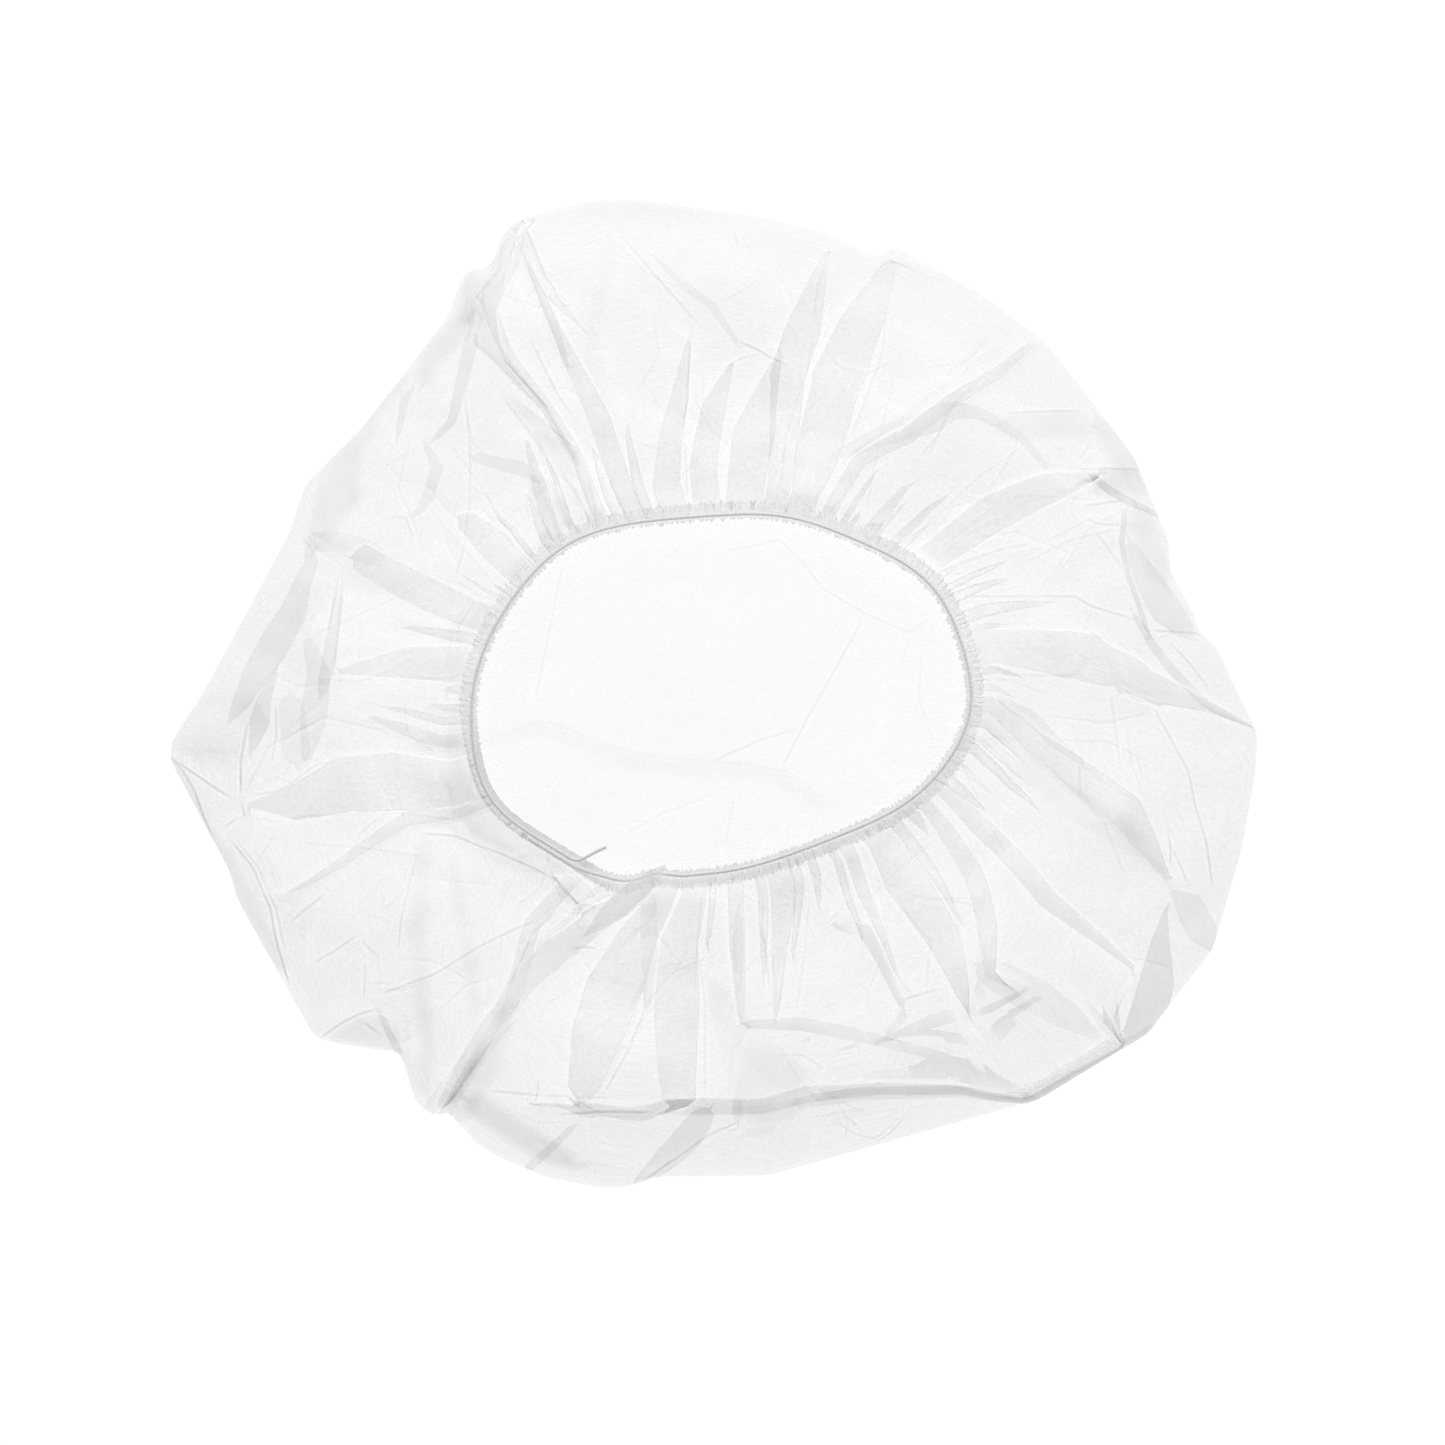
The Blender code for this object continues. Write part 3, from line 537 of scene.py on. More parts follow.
class CapPlan:
    """The cap's outline, mouth and crest, read off the CAD crown.

    A place on the upper layer is a turn round the cap and a share of the way from the outline,
    0, to the elastic's middle line, 1.
    """

    SAMPLES = 2880
    RIM_HEIGHT = 0.0075
    MOUTH_HEIGHT = 0.0125
    EDGE_HEIGHT = 0.0120
    EDGE_DROP = 0.0004
    COLLAR = 0.0058
    FLAT_REACH = 0.88
    CREST_REACH = 0.30
    OUTLINE_SOFTNESS = 0.0009
    MOUTH_SOFTNESS = 0.0050
    CREST_SOFTNESS = 0.2
    FOLD_ALLOWANCE = 0.0010
    KINK = Spot(656.0, 872.0)
    KINK_DEPTH = 0.0017
    KINK_REACH = 0.0062
    KINK_SHARPNESS = 1.3
    ROLLED = (Spot(464.0, 735.0), Spot(592.0, 882.0))
    ROLL_FADE = 0.24
    NOTCH = (Spot(315.0, 1038.0), Spot(399.0, 1052.0), Spot(417.0, 1106.0))
    FAR = 0.3
    TURN_STEP = 0.01

    def __init__(self, crown: str, hem: str) -> None:
        """Measures the CAD crown by rays.

        Args:
            crown: Name of the crown's CAD node.
            hem: Name of the hem's CAD node.
        """
        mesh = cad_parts[crown].data
        corners = [v.co.copy() for v in mesh.vertices]
        self.tree = BVHTree.FromPolygons(corners, [tuple(p.vertices) for p in mesh.polygons])
        low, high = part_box(crown)
        self.half = (high.x - low.x) / 2
        hem_low, hem_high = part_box(hem)
        self.middle = np.array([(hem_low.x + hem_high.x) / 2, (hem_low.y + hem_high.y) / 2])
        self.turns = np.linspace(0, math.tau, self.SAMPLES, endpoint=False)
        spacing = math.tau / self.SAMPLES
        rim = self._radii(Vector((0, 0, self.RIM_HEIGHT)), inward=True)
        rim = soften(self._notched(rim), self.OUTLINE_SOFTNESS / (rim.mean() * spacing))
        edge = self._radii(Vector((*self.middle, self.EDGE_HEIGHT)), inward=False)
        edge = soften(edge, self.MOUTH_SOFTNESS / (edge.mean() * spacing))
        kink = photo_points([self.KINK], self.half)[0] - self.middle
        off = (self.turns - math.atan2(kink[1], kink[0]) + math.pi) % math.tau - math.pi
        kinked = np.clip(1 - np.abs(off) * edge / self.KINK_REACH, 0, 1)
        edge -= self.KINK_DEPTH * kinked ** self.KINK_SHARPNESS
        ways = np.stack([np.cos(self.turns), np.sin(self.turns)], axis=1)
        self.rim_points = ways * rim[:, None]
        self.edge_points = self.middle + ways * edge[:, None]
        self.spans = np.linalg.norm(self.edge_points - self.rim_points, axis=1)
        self.crests = self._crest_heights(self.CREST_SOFTNESS / spacing)

    def _notched(self, rim: Array) -> Array:
        """Pulls the outline in at the notch beside the lower-left corner.

        Args:
            rim: The outline's radius at each turn.

        Returns:
            The radii with the notch.
        """
        places = photo_points(self.NOTCH, self.half)
        turns = np.arctan2(places[:, 1], places[:, 0]) % math.tau
        reach = np.linalg.norm(places, axis=1)
        return np.minimum(rim, np.interp(self.turns, turns, reach, left=self.FAR, right=self.FAR))

    def _radii(self, centre: Vector, inward: bool) -> Array:
        """Measures how far the crown's wall is from a centre, at its height.

        Args:
            centre: Where the rays start or end.
            inward: Whether they come from outside.

        Returns:
            The distance at each turn.
        """
        radii = []
        for turn in self.turns:
            way = Vector((math.cos(turn), math.sin(turn), 0))
            start = centre + way * self.FAR if inward else centre
            hit = self.tree.ray_cast(start, -way if inward else way)[0]
            radii.append((hit - centre).length)
        return np.array(radii)

    def _crest_heights(self, spread: float) -> Array:
        """Measures the upper layer's crest, without its folds.

        Args:
            spread: How far the heights are softened, in samples.

        Returns:
            The height at each turn.
        """
        share = self.CREST_REACH * (1 - self.COLLAR / self.spans)
        points = self.rim_points + (self.edge_points - self.rim_points) * share[:, None]
        heights = []
        for x, y in points:
            hit = self.tree.ray_cast(Vector((x, y, self.FAR)), Vector((0, 0, -1)))[0]
            heights.append(hit.z)
        return soften(np.array(heights), spread) - self.FOLD_ALLOWANCE

    def _read(self, values: Array, turn: Array) -> Array:
        """Reads a loop of samples at any turns.

        Args:
            values: The loop, one row for each sample.
            turn: Turns round the cap.

        Returns:
            The value at each turn.
        """
        place = (np.asarray(turn) % math.tau) * self.SAMPLES / math.tau
        first = np.floor(place).astype(int) % self.SAMPLES
        part = place - np.floor(place)
        if values.ndim > 1:
            part = part[..., None]
        return values[first] * (1 - part) + values[(first + 1) % self.SAMPLES] * part

    def rim(self, turn: Array) -> Array:
        """Points on the outline."""
        return self._read(self.rim_points, turn)

    def edge(self, turn: Array) -> Array:
        """Points on the elastic's middle line."""
        return self._read(self.edge_points, turn)

    def rolled(self, turn: Array) -> Array:
        """How far the hem is rolled up.

        Args:
            turn: Turns round the cap.

        Returns:
            A share from 0 to 1 at each turn.
        """
        ends = photo_points(self.ROLLED, self.half) - self.middle
        start, end = (math.atan2(y, x) % math.tau for x, y in ends)
        turn = np.asarray(turn) % math.tau
        begun = ease((turn - start) / self.ROLL_FADE + 0.5)
        return begun * ease((end - turn) / self.ROLL_FADE + 0.5)

    def span(self, turn: Array) -> Array:
        """The distance in plan from the outline to the elastic."""
        return self._read(self.spans, turn)

    def place(self, turn: Array, share: Array) -> Array:
        """Points of the upper layer in plan, X and Y in the last axis."""
        rim = self.rim(turn)
        return rim + (self.edge(turn) - rim) * np.asarray(share)[..., None]

    def height(self, turn: Array, share: Array) -> Array:
        """The upper layer's height without its folds.

        Args:
            turn: Turns round the cap.
            share: Shares of the way from the outline to the elastic.

        Returns:
            The height at each place.
        """
        reach = np.clip(share / (1 - self.COLLAR / self.span(turn)), 0, 1)
        crest = self._read(self.crests, turn)
        rising = np.sqrt(np.clip(1 - (1 - np.minimum(reach / self.CREST_REACH, 1)) ** 2, 0, 1))
        falling = ease((reach - self.CREST_REACH) / (1 - self.CREST_REACH))
        up = self.RIM_HEIGHT + (crest - self.RIM_HEIGHT) * rising
        return up + (self.MOUTH_HEIGHT - self.EDGE_DROP - up) * falling

    def locate(self, points: Array) -> tuple[Array, Array]:
        """The turns and shares of points in plan.

        Args:
            points: X and Y of each point.

        Returns:
            The turn and the share of each.
        """
        ways = self.edge_points - self.rim_points
        turns, shares = [], []
        for point in points:
            off = point - self.rim_points
            share = np.clip((off * ways).sum(1) / self.spans ** 2, 0, 1)
            miss = np.linalg.norm(off - ways * share[:, None], axis=1)
            best = int(miss.argmin())
            turns.append(self.turns[best])
            shares.append(share[best])
        return np.array(turns), np.array(shares)

    def ring_scale(self, turn: Array, share: Array) -> Array:
        """How long a radian of turn is on the upper layer.

        Args:
            turn: Turns round the cap.
            share: Shares of the way from the outline to the elastic.

        Returns:
            Metres along the ring for each radian.
        """
        ahead = self.place(turn + self.TURN_STEP, share)
        behind = self.place(turn - self.TURN_STEP, share)
        return np.linalg.norm(ahead - behind, axis=-1) / (2 * self.TURN_STEP)


@dataclass
class PleatTracks:
    """Where every pleat and gather runs: its middle and half width at each share of the way."""

    plan: CapPlan
    steps: int = 401
    gather_spacing: float = 0.0032
    gather_width: tuple[float, float] = (0.0010, 0.0030)
    gather_start: tuple[float, float] = (0.30, 0.84)
    gather_jitter: float = 0.3
    gather_end: float = 1.02
    gather_swell: float = 1.3
    start_power: float = 0.8
    rolled_limit: float = 0.3
    least_gap: float = 0.012
    least_room: float = 0.0001
    spread_rounds: int = 60
    seam_margin: float = 0.02
    apex_fade: float = 0.035
    seed: int = 11
    shares: Array = field(init=False)
    middles: Array = field(init=False)
    halves: Array = field(init=False)
    widths: Array = field(init=False)
    lays: list[Lay] = field(init=False)
    main: list[bool] = field(init=False)

    def __post_init__(self) -> None:
        """Lays out the main pleats, then the small gathers between them."""
        self.shares = np.linspace(0, 1, self.steps)
        tracks = [self._main_track(pleat) for pleat in PLEATS]
        order = np.argsort([middle[-1] for middle, _ in tracks])
        middles = np.array([tracks[i][0] for i in order])
        widths = np.array([tracks[i][1] for i in order])
        lays = [PLEATS[i].lay for i in order]
        middles = self._spread_out(middles)
        self._add_gathers(middles, widths, lays)

    def _main_track(self, pleat: Pleat) -> tuple[Array, Array]:
        """Lays out one main pleat.

        Args:
            pleat: The pleat.

        Returns:
            Its middle's turn and its width at each share of the way.
        """
        points = np.array([(b.across, b.along) for b in pleat.bends]) * self.plan.half
        turns, shares = self.plan.locate(points)
        turns = np.unwrap(turns)
        if turns[-1] > math.tau - self.seam_margin:
            turns = turns - math.tau
        order = np.argsort(shares)
        shares, turns, points = shares[order], turns[order], points[order]
        widths = np.array([pleat.bends[i].width for i in order]) * PLEAT_WIDTH
        middle = np.interp(self.shares, shares, turns)
        width = np.interp(self.shares, np.r_[shares[0] - self.apex_fade, shares],
                          np.r_[0.0, widths])
        width[self.shares < shares[0] - self.apex_fade] = 0
        line = np.gradient(self.plan.place(middle, self.shares), axis=0)
        ahead = self.plan.place(middle + self.plan.TURN_STEP, self.shares)
        ring = ahead - self.plan.place(middle, self.shares)
        cross = line[:, 0] * ring[:, 1] - line[:, 1] * ring[:, 0]
        size = np.linalg.norm(line, axis=1) * np.linalg.norm(ring, axis=1)
        slant = np.clip(np.abs(cross) / np.maximum(size, TINY), 0.5, 1)
        return middle, width / slant

    def _spread_out(self, middles: Array) -> Array:
        """Pushes pleats apart where two come too close.

        Args:
            middles: The pleats' middles, pleats by steps.

        Returns:
            The middles, moved.
        """
        for _ in range(self.spread_rounds):
            ahead = np.roll(middles, -1, axis=0)
            ahead[-1] += math.tau
            push = np.clip(self.least_gap - (ahead - middles), 0, None) / 2
            middles = middles - push
            middles = middles + np.roll(push, 1, axis=0)
        return middles

    def _add_gathers(self, middles: Array, widths: Array, lays: list[Lay]) -> None:
        """Puts small gathers in the spaces that the main pleats leave at the mouth.

        Args:
            middles: The main pleats' middles, pleats by steps.
            widths: Their widths.
            lays: The side that each lies to.
        """
        random = np.random.default_rng(self.seed)
        scale = self.plan.ring_scale(middles, self.shares[None, :])
        halves = widths / 2 / scale
        rows: list[tuple[Array, Array, Lay, bool]] = []
        count = len(middles)
        for i in range(count):
            j = (i + 1) % count
            there = middles[j] + (math.tau if j == 0 else 0)
            rows.append((middles[i], widths[i], lays[i], True))
            left, right = middles[i] + halves[i], there - halves[j]
            crossed = left > right
            left = np.where(crossed, (middles[i] + there) / 2, left)
            right = np.where(crossed, (middles[i] + there) / 2 + self.least_room, right)
            room = (right[-1] - left[-1]) * scale[i, -1]
            wanted = max(0, round(room / self.gather_spacing))
            for k in range(wanted):
                part = (k + 0.5 + self.gather_jitter * random.uniform(-1, 1)) / wanted
                middle = left + (right - left) * part
                if self.plan.rolled(middle[-1]) > self.rolled_limit:
                    rows.append((middle, np.zeros(self.steps), Lay.RIGHT, False))
                    continue
                wide = random.uniform(*self.gather_width)
                start = random.uniform(*self.gather_start) ** self.start_power
                reach = self.gather_end - start
                swell = ease((self.shares - start) / reach * self.gather_swell)
                lay = Lay.LEFT if random.random() < 0.5 else Lay.RIGHT
                rows.append((middle, wide * swell, lay, False))
        self.middles = np.array([row[0] for row in rows])
        self.widths = np.array([row[1] for row in rows])
        self.lays = [row[2] for row in rows]
        self.main = [row[3] for row in rows]
        self.halves = self.widths / 2 / self.plan.ring_scale(self.middles, self.shares[None, :])


@dataclass
class FoldedColumns:
    """The crown's columns: turn, lift and folded edge of each, at each share of the way."""

    tracks: PleatTracks
    flap_gap: float = 0.0009
    gather_gap: float = 0.00022
    roundness: float = 0.00035
    opening_width: float = 0.0012
    top_flap: float = 1.1
    last_anchor: int = 4
    hidden_flap_lightening: float = 0.12
    turns: Array = field(init=False)
    lifts: Array = field(init=False)
    edges: Array = field(init=False)
    shown: Array = field(init=False)

    def __post_init__(self) -> None:
        """Works out every column from its pleat's template."""
        tracks = self.tracks
        left_edges = tracks.middles - tracks.halves
        right_edges = tracks.middles + tracks.halves
        after = np.roll(left_edges, -1, axis=0)
        after[-1] += math.tau
        ends = (right_edges + after) / 2
        starts = np.roll(ends, 1, axis=0)
        starts[0] -= math.tau
        turns, lifts, edges, shown = [], [], [], []
        for i, main in enumerate(tracks.main):
            template = KNIFE_PLEAT if main else SMALL_GATHER
            stops = np.stack([starts[i], left_edges[i], tracks.middles[i], right_edges[i], ends[i]])
            shape = self._template(template, tracks.lays[i])
            scale = tracks.plan.ring_scale(tracks.middles[i], tracks.shares)
            opening = ease(tracks.widths[i] / self.opening_width)
            gap = self.flap_gap if main else self.gather_gap
            rounding = np.minimum(self.roundness / scale, tracks.halves[i] / 2)
            for k, column in enumerate(shape):
                folded = column.between(stops) + column.inset * rounding
                even = starts[i] + (ends[i] - starts[i]) * k / len(shape)
                turns.append(even + (folded - even) * opening)
                lifts.append(gap * column.lift * opening)
                beneath = 1 <= column.anchor <= 3 and column.lift <= self.top_flap
                # Painted light: a main pleat's hidden flaps are made more see-through, so the pleat
                # shows lighter
                lightening = self.hidden_flap_lightening if beneath and main else 0.0
                # Painted shade: each folded edge gets extra density, which darkens it
                edges.append((column.edge - lightening) * opening)
                shown.append(1 - opening if beneath else np.ones_like(opening))
        self.turns, self.lifts = np.array(turns), np.array(lifts)
        self.edges, self.shown = np.array(edges), np.array(shown)

    def _template(self, template: Sequence[Column], lay: Lay) -> list[Column]:
        """Turns a template to one lay, so that it still starts at 0.

        Args:
            template: The columns of a pleat that lies to the right.
            lay: The lay that is wanted.

        Returns:
            The columns, mirrored where the pleat lies to the left.
        """
        if lay is Lay.RIGHT:
            return list(template)
        mirrored = [Column(self.last_anchor - c.anchor, -c.inset, c.lift, c.edge)
                    for c in reversed(template)]
        return [Column(0.0, 0, 0.0, 0)] + mirrored[:-1]

    def read(self, table: Array, shares: Array) -> Array:
        """A table's value for each column, at a share of the way of its own.

        Args:
            table: Columns by steps.
            shares: Rows by columns.

        Returns:
            Rows by columns.
        """
        place = np.clip(shares, 0, 1) * (self.tracks.steps - 1)
        first = np.minimum(place.astype(int), self.tracks.steps - 2)
        part = place - first
        columns = np.arange(table.shape[0])[None, :]
        return table[columns, first] * (1 - part) + table[columns, first + 1] * part


@dataclass
class RoundFold:
    """The fold that runs round the cap, as a group of the upper layer's rows."""

    plan: CapPlan
    low: float = 0.06
    high: float = 0.42
    rim_shares: tuple[float, ...] = (0.0, 0.004, 0.012, 0.024, 0.040)
    inner_rows: int = 43
    gap: float = 0.0011
    roundness: float = 0.00035
    opening_width: float = 0.0012
    end_fade: float = 0.06
    path_fade: float = 0.2

    def rows(self) -> list[tuple[int, float]]:
        """Rows of the upper layer from the outline to the elastic.

        Returns:
            For each row its number in the fold, -1 outside it, and its share of the way.
        """
        count = len(KNIFE_PLEAT)
        reach = self.high - self.low
        rows = [(-1, share) for share in self.rim_shares]
        rows += [(k, self.low + reach * k / count) for k in range(count)]
        return rows + [(-1, self.high + (1 - self.high) * (k / self.inner_rows))
                       for k in range(self.inner_rows + 1)]

    def _course(self, turns: Array) -> tuple[Array, Array, Array]:
        """Follows the fold round the cap.

        Args:
            turns: Turns round the cap.

        Returns:
            Its middle, width and shade at each turn.
        """
        points = np.array([(b.across, b.along) for b in TUCK.bends]) * self.plan.half
        at, share = self.plan.locate(points)
        at = np.unwrap(at)
        wide = np.array([b.width for b in TUCK.bends]) * TUCK_WIDTH
        order = np.argsort(at)
        at, share, wide = at[order], share[order], wide[order]
        centre = (at[0] + at[-1]) / 2
        near = (turns - centre + math.pi) % math.tau + centre - math.pi
        past = np.maximum(at[0] - near, near - at[-1])
        inside = np.where(past < 0, 1, 1 - ease(past / self.end_fade))
        blend = 1 - ease((past - self.end_fade) / self.path_fade)
        middle = (self.low + self.high) / 2 * (1 - blend) + np.interp(near, at, share) * blend
        return middle, np.interp(near, at, wide) * inside, TUCK.shade * inside

    def shape(self, number: int, turns: Array) -> tuple[Array, Array, Array]:
        """Lays out one row of the fold.

        Args:
            number: The row's number in the fold.
            turns: Turns round the cap.

        Returns:
            The row's share, lift and extra density at each turn, which holds painted shade along
            folded edges and inside the fold.
        """
        middle, width, shade = self._course(turns)
        span = self.plan.span(turns)
        half = width / 2 / span
        column = KNIFE_PLEAT[number]
        stops = np.stack([np.full(turns.shape, self.low), middle - half, middle, middle + half,
                          np.full(turns.shape, self.high)])
        opening = ease(width / self.opening_width)
        inset = column.inset * np.minimum(self.roundness / span, half / 2)
        even = self.low + (self.high - self.low) * number / len(KNIFE_PLEAT)
        share = even + (column.between(stops) + inset - even) * opening
        inside = 1.0 if 1.0 <= column.anchor <= 3.0 else 0.0
        return share, self.gap * column.lift * opening, (column.edge + shade * inside) * opening


class Crumple:
    """Smooth random waves made of a few sine waves, the same each run."""

    WAVES = 24
    LENGTHS = (0.6, 1.8)

    def __init__(self, seed: int, size: float) -> None:
        """Draws the waves.

        Args:
            seed: Seed of the random draw.
            size: Length of a typical wave.
        """
        random = np.random.default_rng(seed)
        angle = random.uniform(0, math.tau, self.WAVES)
        length = size * random.uniform(*self.LENGTHS, self.WAVES)
        self.ways = np.stack([np.cos(angle), np.sin(angle)]) * math.tau / length
        self.phases = random.uniform(0, math.tau, self.WAVES)
        self.strength = (length / size) / math.sqrt(self.WAVES / 2)

    def at(self, points: Array) -> Array:
        """The waves' height.

        Args:
            points: X and Y of each point.

        Returns:
            The height at each point, about -1 to 1.
        """
        total = np.zeros(points.shape[:-1])
        for k, phase in enumerate(self.phases):
            along = points[..., 0] * self.ways[0, k] + points[..., 1] * self.ways[1, k]
            total += self.strength[k] * np.sin(along + phase)
        return total


class MarkField:
    """How far each point of a layer is from its marks, in millimetres.

    Marks of a kind that come close to each other go to different channels, so that a value read
    between two points always belongs to one mark.
    """

    LINE_CHANNELS = 6
    BAND_CHANNELS = 3
    FAR = 9.0
    HOLD = 4.0
    CLEAR = 1.0
    FADE = 1.0
    TAPER = 2.5
    LINE_RELIEF = 0.0005
    BAND_RELIEF = 0.0004
    SOFTNESS = 3.2
    MILLIMETRES = 1000.0

    def __init__(self, places: Array) -> None:
        """Starts with no marks.

        Args:
            places: X and Y of each point, in metres.
        """
        self.places = places * self.MILLIMETRES
        count = len(places)
        self.line_side = np.full((self.LINE_CHANNELS, count), self.FAR)
        self.line_strength = np.zeros((self.LINE_CHANNELS, count))
        self.bands = {name: np.zeros((3, self.BAND_CHANNELS, count)) for name in ("band", "patch")}
        for side, _, _ in self.bands.values():
            side += self.FAR
        self.lift = np.zeros(count)

    def add_table(self, marks: Sequence[Mark], half: float) -> None:
        """Adds a table of marks.

        Args:
            marks: The marks.
            half: Half the cap's width.
        """
        for mark in marks:
            line = photo_points(mark.spots, half)
            widths = np.array([spot.width for spot in mark.spots]) * MARK_WIDTH
            if mark.kind is Kind.LINE:
                self.add_line(line, mark.strength, self.LINE_RELIEF * mark.strength)
            else:
                self.add_band(line, widths, mark.strength, mark.kind is Kind.PATCH)

    def add_line(self, line: Array, strength: float, relief: float) -> None:
        """Adds a crease.

        Args:
            line: X and Y of its points, in metres.
            strength: How dark its painted shade is.
            relief: How far it stands up, or down if negative.
        """
        near, side, along, _, length = self._measure(line, np.zeros(len(line)))
        if not near.any():
            return
        miss = np.abs(side)
        end = min(self.TAPER, length / 3)
        taper = ease(along / end) * ease((length - along) / end)
        crowding = [(np.abs(row[near]) + miss < self.HOLD).sum() for row in self.line_side]
        channel = int(np.argmin(crowding))
        closer = miss < np.abs(self.line_side[channel, near])
        shown = strength * taper * (1 - ease((miss - self.CLEAR) / self.FADE))
        self._keep(self.line_side, channel, near, closer, side)
        self._keep(self.line_strength, channel, near, closer, shown)
        self.lift[near] += relief * np.clip(1 - miss / self.CLEAR, 0, 1) * taper

    def add_band(self, line: Array, widths: Array, strength: float, soft: bool) -> None:
        """Adds a flap, or a soft place of painted shade or light, which reaches a little past its
        width.

        Args:
            line: X and Y of the points along its middle, in metres.
            widths: Its width at each point.
            strength: How dark it is.
            soft: Whether it is a place of painted shade or light.
        """
        near, side, _, wide, _ = self._measure(line, widths * self.MILLIMETRES)
        if not near.any():
            return
        sides, halves, strengths = self.bands["patch" if soft else "band"]
        outside = np.abs(side) - wide / 2
        old = np.abs(sides[:, near]) - halves[:, near]
        crowding = ((old + outside < self.HOLD) & (strengths[:, near] > 0)).sum(axis=1)
        channel = int(np.argmin(crowding))
        closer = outside < old[channel]
        clear = self.SOFTNESS / 2 if soft else self.CLEAR
        shown = strength * (1 - ease((outside - clear) / self.FADE))
        self._keep(sides, channel, near, closer, side)
        self._keep(halves, channel, near, closer, wide / 2)
        self._keep(strengths, channel, near, closer, shown)
        if not soft:
            self.lift[near] += self.BAND_RELIEF * strength * ease(0.5 - outside / self.CLEAR)

    def hide(self, shown: Array) -> None:
        """Fades the marks where another flap of the same pleat already shows them.

        Args:
            shown: For each point, 1 where the marks stay and 0 where they go.
        """
        self.line_strength *= shown
        for _, _, strengths in self.bands.values():
            strengths *= shown

    def _keep(self, table: Array, channel: int, near: Array, chosen: Array, new: Array) -> None:
        """Puts new values into a channel where they are chosen."""
        table[channel, near] = np.where(chosen, new, table[channel, near])

    def _measure(self, line: Array, widths: Array) -> tuple[Array, Array, Array, Array, float]:
        """Measures the points near a line.

        Args:
            line: X and Y of the line's points, in metres.
            widths: The mark's width at each of them, in millimetres.

        Returns:
            Which points are near, and for each of them the signed distance from the line, the
            way along it and the width there, then the line's length, all in millimetres.
        """
        line = line * self.MILLIMETRES
        margin = self.HOLD + widths.max() / 2
        low, high = line.min(0) - margin, line.max(0) + margin
        near = ((self.places > low) & (self.places < high)).all(-1)
        spots_near = self.places[near]
        best = np.full(len(spots_near), np.inf)
        side = np.zeros(len(spots_near))
        along = np.zeros(len(spots_near))
        steps = np.linalg.norm(np.diff(line, axis=0), axis=1)
        stops = np.r_[0, np.cumsum(steps)]
        for start, end, step, gone in zip(line[:-1], line[1:], steps, stops):
            way = (end - start) / step
            off = spots_near - start
            part = np.clip(off @ way, 0, step)
            miss = np.linalg.norm(off - part[:, None] * way, axis=1)
            turned = off[:, 1] * way[0] - off[:, 0] * way[1]
            closer = miss < best
            best = np.where(closer, miss, best)
            side = np.where(closer, np.where(turned < 0, -miss, miss), side)
            along = np.where(closer, gone + part, along)
        wide = np.interp(along, stops, widths)
        kept = best < margin
        near[near] = kept
        return near, side[kept], along[kept], wide[kept], float(stops[-1])

    def attributes(self) -> dict[str, Array]:
        """The values that the material reads.

        Returns:
            Three channels for each name.
        """
        named = {
            "line_side_a": self.line_side[:3].T,
            "line_side_b": self.line_side[3:].T,
            "line_strength_a": self.line_strength[:3].T,
            "line_strength_b": self.line_strength[3:].T,
        }
        for name, (side, half, strength) in self.bands.items():
            named[name + "_side"] = side.T
            named[name + "_half"] = half.T
            named[name + "_strength"] = strength.T
        return named


